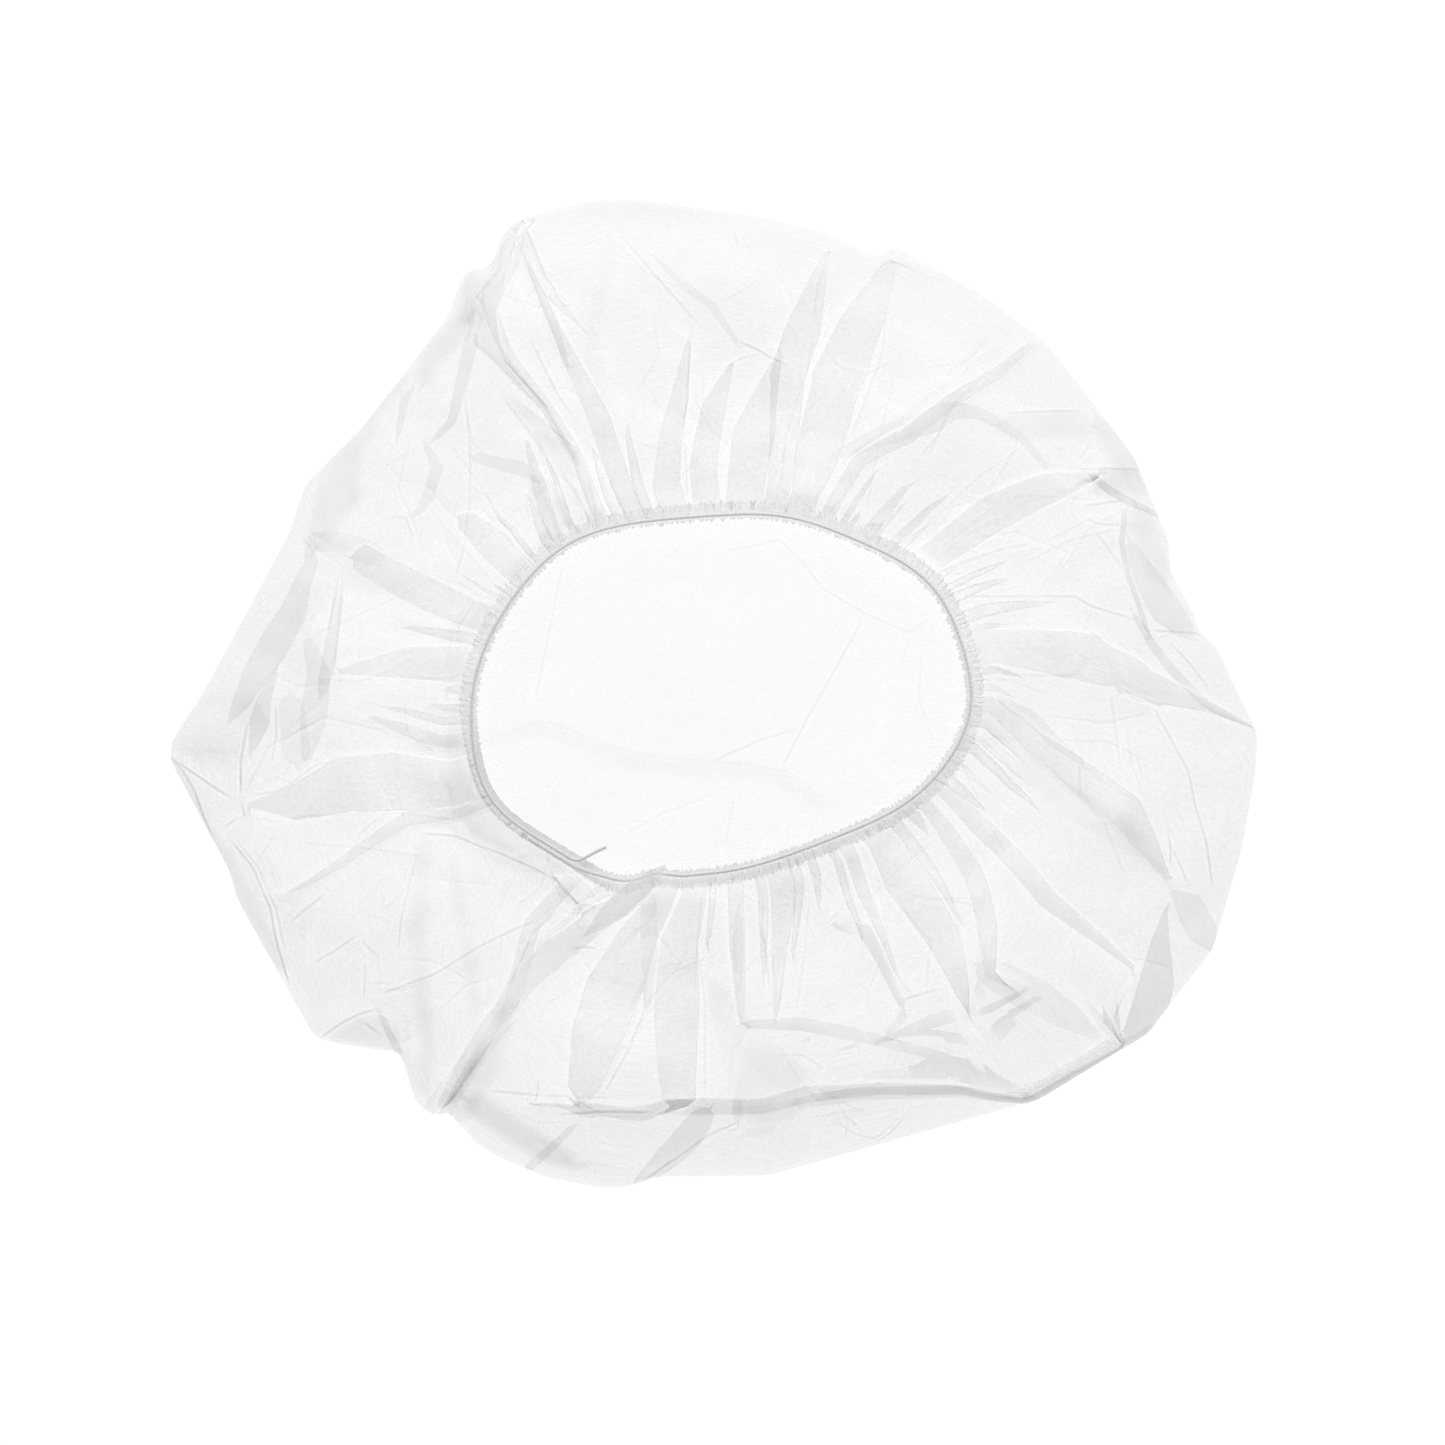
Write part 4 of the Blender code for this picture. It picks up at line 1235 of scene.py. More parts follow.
@dataclass
class Crown:
    """The bag of nonwoven, one sheet from the middle of its lower layer to the elastic."""

    plan: CapPlan
    columns: FoldedColumns
    tuck: RoundFold
    floor_clearance: float = 0.00025
    billow_height: float = 0.0005
    billow_size: float = 0.03
    crumple_height: float = 0.00035
    crumple_size: float = 0.011
    swell_height: float = 0.0012
    swell_size: float = 0.035
    fine_creases: int = 230
    fine_length: tuple[float, float] = (0.006, 0.030)
    fine_height: float = 0.00035
    fine_strength: tuple[float, float] = (0.04, 0.26)
    fine_shares: tuple[float, float] = (0.04, 0.94)
    fine_turn: float = 0.6
    fine_bow: float = 0.12
    rim_calm: float = 0.06
    mouth_calm: float = 0.10
    mouth_flat: float = 0.07
    pressed: float = 0.25
    # Painted shade on the lower layer close under the mouth's edge
    mouth_shade: float = 0.16
    mouth_shade_reach: float = 0.020
    mouth_shade_end: float = 0.002
    seed: int = 5
    seen_rings: int = 62
    curl_reaches: tuple[float, ...] = (0.998, 0.990, 0.974, 0.950, 0.920, 0.885)
    outer_rings: tuple[float, float, int] = (0.85, 0.56, 8)
    inner_rings: tuple[float, float, int] = (0.545, 0.045, 58)
    even_from: float = 0.9
    even_over: float = 0.3
    waist_row: int = 16

    def build(self, cloth: bpy.types.Material, plain: bpy.types.Material) -> bpy.types.Object:
        """Makes the crown's mesh with its flat cut as its UV map.

        Args:
            cloth: The nonwoven's material.
            plain: The same without marks, for what the upper layer covers.

        Returns:
            The finished object.
        """
        upper, lift, density_and_shade, shown = self._upper()
        below = self._lower(upper[0])[::-1]
        low = np.concatenate(below)
        low_field = MarkField(low[:, :2])
        low_field.add_table(LOWER_MARKS, self.plan.half)
        field_above = MarkField(upper[..., :2].reshape(-1, 2))
        field_above.add_table(MARKS, self.plan.half)
        self._fine_creases(field_above)
        field_above.hide(shown.ravel())
        upper[..., 2] += lift + field_above.lift.reshape(lift.shape)
        self._flatten_seam(upper)
        starts = np.cumsum([len(ring) for ring in below])[:-1]
        rings = np.split(low, starts) + list(upper)
        mesh = bpy.data.meshes.new("crown_cloth")
        mesh.from_pydata(np.concatenate(rings).tolist(), [], self._faces(rings))
        mesh.update()
        # The lower layer's points carry painted shade under the mouth's edge; the upper layer's
        # carry their density with painted shade along folded edges
        shades = np.r_[self._mouth_shade(low[:, :2]), density_and_shade.ravel()]
        store(mesh, "cloth_density_and_shade", "FLOAT", shades)
        above = field_above.attributes()
        for name, values in low_field.attributes().items():
            store(mesh, name, "FLOAT_VECTOR", np.concatenate([values, above[name]]))
        layer = mesh.uv_layers.new(name="flat_cut")
        corners = np.empty(len(mesh.loops), dtype=np.int32)
        mesh.loops.foreach_get("vertex_index", corners)
        flats = self._flat_cut(rings)
        layer.data.foreach_set("uv", flats[corners].astype(np.float32).ravel())
        mesh.shade_smooth()
        mesh.materials.append(cloth)
        mesh.materials.append(plain)
        counts = [len(ring) for ring in rings]
        covered = range(sum(counts[:self.seen_rings]), len(low))
        kinds = [1 if polygon.vertices[0] in covered else 0 for polygon in mesh.polygons]
        mesh.polygons.foreach_set("material_index", np.array(kinds, dtype=np.int32))
        return add_object("crown_cloth", mesh)

    def _upper(self) -> tuple[Array, Array, Array, Array]:
        """Lays the upper layer out, row by row.

        Returns:
            Its points, extra lift, density with painted shade along folded edges, and share of the
            marks.
        """
        columns = self.columns
        count = len(columns.turns)
        points, lifts, density_and_shade, shown = [], [], [], []
        for number, nominal in self.tuck.rows():
            share = np.full((1, count), nominal)
            turn = columns.read(columns.turns, share)
            lift = edge = np.zeros((1, count))
            if number >= 0:
                share, lift, edge = self.tuck.shape(number, turn)
                turn = columns.read(columns.turns, share)
            lift = lift + columns.read(columns.lifts, share)
            edge = edge + columns.read(columns.edges, share)
            place = self.plan.place(turn, share)
            height = self.plan.height(turn, share)
            calm = ease(share / self.rim_calm) * ease((1 - share) / self.mouth_calm)
            swell = Crumple(self.seed, self.swell_size).at(place)
            crumple = Crumple(self.seed + 1, self.crumple_size).at(place)
            height = height + calm * (self.swell_height * swell + self.crumple_height * crumple)
            points.append(np.concatenate([place, height[..., None]], axis=-1)[0])
            lifts.append(lift[0])
            density_and_shade.append(edge[0])
            shown.append(columns.read(columns.shown, share)[0])
        return np.array(points), np.array(lifts), np.array(density_and_shade), np.array(shown)

    def _lower(self, rim: Array) -> list[Array]:
        """Rings of the lower layer from the outline to the middle.

        Args:
            rim: The upper layer's outermost row.

        Returns:
            The points of each ring, then the middle point.
        """
        turns = np.arctan2(rim[:, 1], rim[:, 0])
        turns = np.unwrap(turns)
        rings = []
        curl = [(reach, 1) for reach in self.curl_reaches]
        outer = [(reach, 2) for reach in np.linspace(*self.outer_rings)]
        inner = [(reach, 4) for reach in np.linspace(*self.inner_rings)]
        for reach, step in curl + outer + inner:
            ring = turns[::step]
            even = turns[0] + np.arange(len(ring)) * math.tau / len(ring)
            mix = ease((self.even_from - reach) / self.even_over)
            ring = ring * (1 - mix) + even * mix
            radius = np.linalg.norm(self.plan.rim(ring), axis=1)
            place = np.stack([np.cos(ring), np.sin(ring)], axis=1) * (radius * reach)[:, None]
            bend = max(0.0, reach - self.plan.FLAT_REACH) / (1 - self.plan.FLAT_REACH)
            height = np.full(len(ring), self.plan.RIM_HEIGHT * (1 - math.sqrt(1 - bend ** 2)))
            waves = 0.5 + 0.5 * np.tanh(Crumple(self.seed + 2, self.billow_size).at(place))
            height += self.floor_clearance + self.billow_height * waves
            rings.append(np.concatenate([place, height[:, None]], axis=1))
        rings.append(np.array([[0.0, 0.0, self.floor_clearance]]))
        return rings

    def _mouth_shade(self, places: Array) -> Array:
        """How much painted shade darkens the lower layer close under the mouth's edge.

        Args:
            places: X and Y of its points.

        Returns:
            The painted shade at each point, as extra density.
        """
        off = places - self.plan.middle
        edge = self.plan.edge(np.arctan2(off[:, 1], off[:, 0])) - self.plan.middle
        inward = np.linalg.norm(edge, axis=1) - np.linalg.norm(off, axis=1)
        near = 1 - ease(inward / self.mouth_shade_reach)
        return self.mouth_shade * near * ease(inward / self.mouth_shade_end + 1)

    def _fine_creases(self, field_above: MarkField) -> None:
        """Adds many short random creases of painted shade, most of them running towards the mouth.

        Args:
            field_above: The upper layer's marks.
        """
        random = np.random.default_rng(self.seed + 3)
        for _ in range(self.fine_creases):
            turn = random.uniform(0, math.tau)
            share = random.uniform(*self.fine_shares)
            start = self.plan.place(np.array(turn), np.array(share))
            inward = self.plan.edge(np.array(turn)) - start
            way = math.atan2(inward[1], inward[0]) + random.normal(0, self.fine_turn)
            length = random.uniform(*self.fine_length)
            bow = random.normal(0, self.fine_bow) * length
            side = np.array([-math.sin(way), math.cos(way)])
            ahead = np.array([math.cos(way), math.sin(way)])
            line = np.array([start, start + ahead * length / 2 + side * bow,
                             start + ahead * length])
            relief = self.fine_height * random.choice([-1, 1])
            field_above.add_line(line, random.uniform(*self.fine_strength), relief)

    def _flatten_seam(self, upper: Array) -> None:
        """Presses the last rows down under the hem.

        Args:
            upper: The upper layer's points, row by row.
        """
        shares = np.array([share for _, share in self.tuck.rows()])
        press = ease((1 - shares) / self.mouth_flat)[:, None]
        seat = self.plan.MOUTH_HEIGHT - self.plan.EDGE_DROP
        extra = upper[..., 2] - seat
        upper[..., 2] = seat + extra * (self.pressed + (1 - self.pressed) * press)

    def _faces(self, rings: list[Array]) -> list[tuple[int, ...]]:
        """Joins all rings, from the middle of the lower layer to the elastic.

        Args:
            rings: The points of each ring.

        Returns:
            The corners of each face.
        """
        starts = np.r_[0, np.cumsum([len(ring) for ring in rings])]
        faces: list[tuple[int, ...]] = []
        for i in range(1, len(rings)):
            inner, outer = starts[i - 1], starts[i]
            few, many = len(rings[i - 1]), len(rings[i])
            if few == 1:
                faces += [(inner, outer + (k + 1) % many, outer + k) for k in range(many)]
            elif few == many:
                faces += [
                    (inner + k, inner + (k + 1) % few, outer + (k + 1) % many, outer + k)
                    for k in range(many)
                ]
            else:
                for k in range(few):
                    a, b = inner + k, inner + (k + 1) % few
                    c, d, e = (outer + (2 * k + n) % many for n in range(3))
                    faces += [(a, d, c), (a, b, d), (b, e, d)]
        return faces

    def _flat_cut(self, rings: list[Array]) -> Array:
        """Lays the rings out as they were on the flat round sheet.

        Args:
            rings: The points of each ring.

        Returns:
            Each point's place as UV from 0 to 1.
        """
        radii = [0.0]
        for inner, outer in zip(rings[:-1], rings[1:]):
            step = max(1, len(outer) // len(inner))
            here = outer[::step] if len(inner) > 1 else outer
            radii.append(radii[-1] + float(np.median(np.linalg.norm(here - inner, axis=1))))
        waist = rings[-self.waist_row]
        steps = np.linalg.norm(np.roll(waist, -1, axis=0) - waist, axis=1)
        angles = np.r_[0, np.cumsum(steps)[:-1]] / steps.sum() * math.tau
        flats = []
        for ring, radius in zip(rings, radii):
            step = max(1, len(angles) // len(ring))
            angle = angles[::step] if len(ring) > 1 else np.zeros(1)
            reach = 0.5 * radius / radii[-1]
            flats.append(0.5 + reach * np.stack([np.cos(angle), np.sin(angle)], axis=1))
        return np.concatenate(flats)


class Graph:
    """A node tree that is written as expressions."""

    def __init__(self, tree: bpy.types.NodeTree) -> None:
        """Starts on an empty tree."""
        self.tree = tree

    def node(self, kind: str, values: Optional[dict[Any, Any]] = None,
             **settings: Any) -> bpy.types.Node:
        """Adds a node.

        Args:
            kind: The node's type name.
            values: Links or constants for its sockets, by name or number.
            settings: Its properties, which are set first.

        Returns:
            The new node.
        """
        made = self.tree.nodes.new(kind)
        for name, value in settings.items():
            setattr(made, name, value)
        for key, value in (values or {}).items():
            socket = made.inputs[key]
            if isinstance(value, Value):
                self.tree.links.new(value.socket, socket)
            else:
                socket.default_value = value
        return made

    def value(self, kind: str, values: Optional[dict[Any, Any]] = None, output: Any = 0,
              **settings: Any) -> "Value":
        """Adds a node and returns one of its outputs."""
        return Value(self, self.node(kind, values, **settings).outputs[output])

    def link(self, value: "Value", node: bpy.types.Node, name: Any) -> None:
        """Links a value to a node's socket."""
        self.tree.links.new(value.socket, node.inputs[name])

    def math(self, operation: str, *values: "Number") -> "Value":
        """Adds a Math node."""
        return self.value("ShaderNodeMath", dict(enumerate(values)), operation=operation)

    def vector(self, operation: str, *values: Any) -> "Value":
        """Adds a Vector Math node with a vector result."""
        return self.value("ShaderNodeVectorMath", dict(enumerate(values)), operation=operation)

    def blend(self, factor: "Value", one: Colour, other: Colour) -> "Value":
        """Adds a Mix node of two colours, which are its sockets 6 and 7."""
        return self.value("ShaderNodeMix", {0: factor, 6: one, 7: other}, output=2,
                          data_type="RGBA")

    def bump(self, strength: float, height: "Value") -> "Value":
        """Adds a Bump node."""
        return self.value("ShaderNodeBump",
                          {"Strength": strength, "Distance": GRAIN_HEIGHT, "Height": height})

    def noise(self, dimensions: str, place: "Value", detail: float, scale: float = 1.0,
              roughness: float = 0.5) -> "Value":
        """Adds a Noise Texture node, which reads a number in 1D and a vector otherwise."""
        label = "W" if dimensions == "1D" else "Vector"
        return self.value("ShaderNodeTexNoise",
                          {label: place, "Scale": scale, "Detail": detail, "Roughness": roughness},
                          noise_dimensions=dimensions)

    def dot(self, one: Any, other: Any) -> "Value":
        """The sum of the products of two vectors' numbers."""
        return self.value("ShaderNodeVectorMath", {0: one, 1: other}, output=1,
                          operation="DOT_PRODUCT")


@dataclass(frozen=True)
class Value:
    """One socket's number or vector, which expressions can be written with."""

    graph: Graph
    socket: bpy.types.NodeSocket

    def _with(self, operation: str, other: "Number") -> "Value":
        """Adds a Math node of this value and another."""
        return self.graph.math(operation, self, other)

    __add__ = __radd__ = partialmethod(_with, "ADD")
    __sub__ = partialmethod(_with, "SUBTRACT")
    __mul__ = __rmul__ = partialmethod(_with, "MULTIPLY")
    __truediv__ = partialmethod(_with, "DIVIDE")
    __pow__ = partialmethod(_with, "POWER")

    def __rsub__(self, other: "Number") -> "Value":
        """A number less this value."""
        return self.graph.math("SUBTRACT", other, self)

    def __abs__(self) -> "Value":
        """The size without its sign."""
        return self.graph.math("ABSOLUTE", self)

    def clamp(self) -> "Value":
        """The value held between 0 and 1."""
        return self.graph.value("ShaderNodeClamp", {0: self, 1: 0.0, 2: 1.0})


Number = Union[Value, float]


def new_material(name: str) -> tuple[bpy.types.Material, Graph, bpy.types.Node]:
    """A material with a bare Principled shader.

    Args:
        name: The material's name.

    Returns:
        The material, its graph and its shader node.
    """
    material = bpy.data.materials.new(name)
    material.use_nodes = True
    shader = material.node_tree.nodes["Principled BSDF"]
    return material, Graph(material.node_tree), shader


@dataclass(frozen=True)
class Nonwoven:
    """Thin white spunbond: see-through, with cloudy fibres that lie in every direction."""

    name: str
    colour: Colour = (0.90, 0.905, 0.91, 1.0)
    shadow_colour: Colour = (0.62, 0.625, 0.63, 1.0)
    cover: float = 0.20
    cloud_cover: float = 0.030
    fibre_cover: float = 0.045
    edge_cover: float = 0.30
    line_cover: float = 0.46
    highlight_cover: float = 0.11
    band_cover: float = 0.29
    rim_cover: float = 0.16
    band_shadow: float = 0.1
    rim_shadow: float = 0.4
    rim_width: float = 0.6
    line_width: float = 0.52
    highlight_offset: float = 0.60
    band_edge: float = 0.25
    patch_edge: float = 3.2
    roughness: float = 0.82
    cloud_size: float = 0.0022
    fibre_size: float = 0.00055
    fibre_stretch: float = 6.0
    fibre_turns: tuple[float, float, float] = (0.2, 1.25, 2.3)
    fibre_sharpness: float = 6.0
    noise_roughness: float = 0.6
    relief: float = 0.25
    marked: bool = True

    def build(self) -> bpy.types.Material:
        """Makes the material.

        Returns:
            The finished material.
        """
        material, graph, shader = new_material(self.name)
        flat = graph.value("ShaderNodeUVMap", uv_map="flat_cut")
        clouds = self._noise(graph, flat, 0.0, 1.0, self.cloud_size, 3.0)
        fibres = [self._strands(graph, flat, turn) for turn in self.fibre_turns]
        fibre = (fibres[0] + fibres[1] + fibres[2]) / 3
        # Density is real where cloth is gathered or folded over, and painted shade along folded
        # edges and under the mouth's edge; it thickens the cover and darkens the colour
        density_and_shade = graph.value("ShaderNodeAttribute", output=2, attribute_name="cloth_density_and_shade")
        cover = self.cover + (clouds - 0.5) * self.cloud_cover * 2
        cover = cover + (fibre - 0.5) * self.fibre_cover * 2 + density_and_shade * self.edge_cover
        dark = density_and_shade
        if self.marked:
            lines, lights, bands, rims = self._marks(graph)
            # Painted shade in the creases, and a painted highlight beside them where the cover
            # thins
            cover = cover + lines * self.line_cover - lights * self.highlight_cover
            cover = cover + bands * self.band_cover + rims * self.rim_cover
            # Painted shade: creases, flaps and their edges darken the colour towards the shadow
            # colour
            dark = density_and_shade + lines + rims * self.rim_shadow + bands * self.band_shadow
        graph.link(cover.clamp(), shader, "Alpha")
        tone = graph.blend(dark.clamp(), self.colour, self.shadow_colour)
        graph.link(tone, shader, "Base Color")
        graph.link(graph.bump(self.relief, fibre), shader, "Normal")
        shader.inputs["Roughness"].default_value = self.roughness
        return material

    def _marks(self, graph: Graph) -> tuple[Value, Value, Value, Value]:
        """Shows the cloth's marks.

        Args:
            graph: The material's graph.

        Returns:
            The creases' painted shade, the painted highlight beside them, the flaps, and the
            painted shade along their edges, 0 to 1.
        """
        lines, lights = [], []
        for channel in ("a", "b"):
            side = self._channels(graph, "line_side_" + channel)
            strength = self._channels(graph, "line_strength_" + channel)
            lines.append(self._ridge(graph, side, strength, self.line_width, 0.0))
            lights.append(self._ridge(graph, side, strength, self.line_width, self.highlight_offset))
        sums = []
        for name, softness in (("band", self.band_edge), ("patch", self.patch_edge)):
            away = graph.vector("ABSOLUTE", self._channels(graph, name + "_side"))
            inside = graph.vector("SUBTRACT", self._channels(graph, name + "_half"), away)
            strength = self._channels(graph, name + "_strength")
            step = graph.vector("MULTIPLY_ADD", inside, (1 / softness,) * 3, (0.5,) * 3)
            step = graph.vector("MAXIMUM", step, (0.0,) * 3)
            step = graph.vector("MINIMUM", step, (1.0,) * 3)
            smooth = graph.vector("MULTIPLY_ADD", step, (-2.0,) * 3, (3.0,) * 3)
            smooth = graph.vector("MULTIPLY", smooth, graph.vector("MULTIPLY", step, step))
            sums.append(graph.dot(smooth, strength))
            if name == "band":
                width = self.line_width * self.rim_width
                rims = self._ridge(graph, inside, strength, width, 0.0)
        return lines[0] + lines[1], lights[0] + lights[1], sums[0] + sums[1], rims

    def _channels(self, graph: Graph, name: str) -> Value:
        """Three channels of the marks."""
        return graph.value("ShaderNodeAttribute", output=1, attribute_name=name)

    def _ridge(self, graph: Graph, side: Value, strength: Value, width: float,
               offset: float) -> Value:
        """A peak on or beside the middle of each mark.

        Args:
            graph: The material's graph.
            side: How far the marks are, in three channels.
            strength: How dark they are.
            width: The peak's half width, in millimetres.
            offset: How far it stands beside the middle.

        Returns:
            The sum of the peaks.
        """
        away = graph.vector("ABSOLUTE", side)
        if offset:
            away = graph.vector("ABSOLUTE", graph.vector("SUBTRACT", away, (offset,) * 3))
        peak = graph.vector("MULTIPLY_ADD", away, (-1 / width,) * 3, (1.0,) * 3)
        peak = graph.vector("MAXIMUM", peak, (0.0,) * 3)
        return graph.dot(graph.vector("MULTIPLY", peak, peak), strength)

    def _noise(self, graph: Graph, flat: Value, turn: float, stretch: float, size: float,
               detail: float) -> Value:
        """Noise on the flat cut, turned and stretched.

        Args:
            graph: The material's graph.
            flat: The place on the flat cut.
            turn: The way that it is stretched, in radians.
            stretch: How many times longer it is that way.
            size: Its size in metres.
            detail: How many finer layers it has.

        Returns:
            The noise, 0 to 1.
        """
        scale = SHEET_SIZE / size
        place = graph.value("ShaderNodeMapping",
                            {"Vector": flat, "Rotation": (0.0, 0.0, turn),
                             "Scale": (scale / stretch, scale, 1.0)})
        return graph.noise("2D", place, detail, roughness=self.noise_roughness)

    def _strands(self, graph: Graph, flat: Value, turn: float) -> Value:
        """Fine bright lines in one direction, from the folded middle of stretched noise."""
        noise = self._noise(graph, flat, turn, self.fibre_stretch, self.fibre_size, 2.0)
        return 1 - (abs(noise - 0.5) * self.fibre_sharpness).clamp()


@dataclass(frozen=True)
class ElasticRubber:
    """Matt grey elastic under fine stitches, with a faint glow that is painted light."""

    name: str
    colour: Colour = (0.84, 0.84, 0.845, 1.0)
    pale: Colour = (0.93, 0.93, 0.935, 1.0)
    roughness: float = 0.6
    painted_glow: float = 0.07
    grain_size: float = 0.0004
    relief: float = 0.3

    def build(self) -> bpy.types.Material:
        """Makes the material.

        Returns:
            The finished material.
        """
        material, graph, shader = new_material(self.name)
        place = graph.value("ShaderNodeTexCoord", output="Object")
        grain = graph.noise("3D", place, 2.0, 1 / self.grain_size)
        graph.link(graph.blend(grain, self.colour, self.pale), shader, "Base Color")
        graph.link(graph.bump(self.relief, grain), shader, "Normal")
        shader.inputs["Roughness"].default_value = self.roughness
        # Painted light: a faint even glow that brightens the elastic, which is no lamp
        shader.inputs["Emission Color"].default_value = WHITE
        shader.inputs["Emission Strength"].default_value = self.painted_glow
        return material


class ShapeTree(Graph):
    """A geometry tree with named inputs, which ends in a smooth, dressed mesh."""

    def __init__(self, name: str, floats: Sequence[str], **others: str) -> None:
        """Starts the tree.

        Args:
            name: The tree's name.
            floats: Names of its number inputs.
            others: Socket type of each other input, by name.
        """
        super().__init__(bpy.data.node_groups.new(name, "GeometryNodeTree"))
        sockets = {"Geometry": "Geometry", **dict.fromkeys(floats, "Float"), **others,
                   "Material": "Material"}
        for label, kind in sockets.items():
            self.tree.interface.new_socket(label, in_out="INPUT", socket_type="NodeSocket" + kind)
        self.tree.interface.new_socket("Geometry", in_out="OUTPUT",
                                       socket_type="NodeSocketGeometry")
        self.given = self.node("NodeGroupInput")

    def read(self, label: str) -> "Value":
        """One of the tree's inputs."""
        return Value(self, self.given.outputs[label])

    def finish(self, shape: "Value") -> None:
        """Makes the shape a real, smooth mesh in the given material, as the tree's result.

        Args:
            shape: The shape.
        """
        shape = self.value("GeometryNodeRealizeInstances", {0: shape})
        shape = self.value("GeometryNodeSetShadeSmooth", {"Geometry": shape})
        shape = self.value("GeometryNodeSetMaterial",
                           {"Geometry": shape, "Material": self.read("Material")})
        self.node("NodeGroupOutput", {0: shape})


def run_tree(graph: ShapeTree, name: str, base: bpy.types.Mesh,
             inputs: dict[str, Any]) -> bpy.types.Object:
    """Runs a geometry tree on a mesh and keeps the result as a plain mesh.

    Args:
        graph: The tree's graph.
        name: The new object's name.
        base: The mesh that the tree starts from.
        inputs: A value for each of the tree's named inputs.

    Returns:
        The object, with no modifier left on it.
    """
    made = add_object(name, base)
    modifier = made.modifiers.new("shape", "NODES")
    modifier.node_group = graph.tree
    for item in graph.tree.interface.items_tree:
        if item.in_out == "INPUT" and item.name in inputs:
            modifier[item.identifier] = inputs[item.name]
    evaluated = made.evaluated_get(bpy.context.evaluated_depsgraph_get())
    mesh = bpy.data.meshes.new_from_object(evaluated)
    made.modifiers.remove(modifier)
    made.data = mesh
    mesh.name = name
    return made


def line_mesh(name: str, points: Array, closed: bool,
              attributes: dict[str, tuple[str, Array]]) -> bpy.types.Mesh:
    """A mesh of edges along points.

    Args:
        name: The mesh's name.
        points: The points in order.
        closed: Whether the last point joins the first.
        attributes: Type and values of each attribute on the points.

    Returns:
        The mesh.
    """
    count = len(points)
    links = [(k, (k + 1) % count) for k in range(count if closed else count - 1)]
    mesh = bpy.data.meshes.new(name)
    mesh.from_pydata(points.tolist(), links, [])
    for label, (kind, values) in attributes.items():
        store(mesh, label, kind, values)
    return mesh


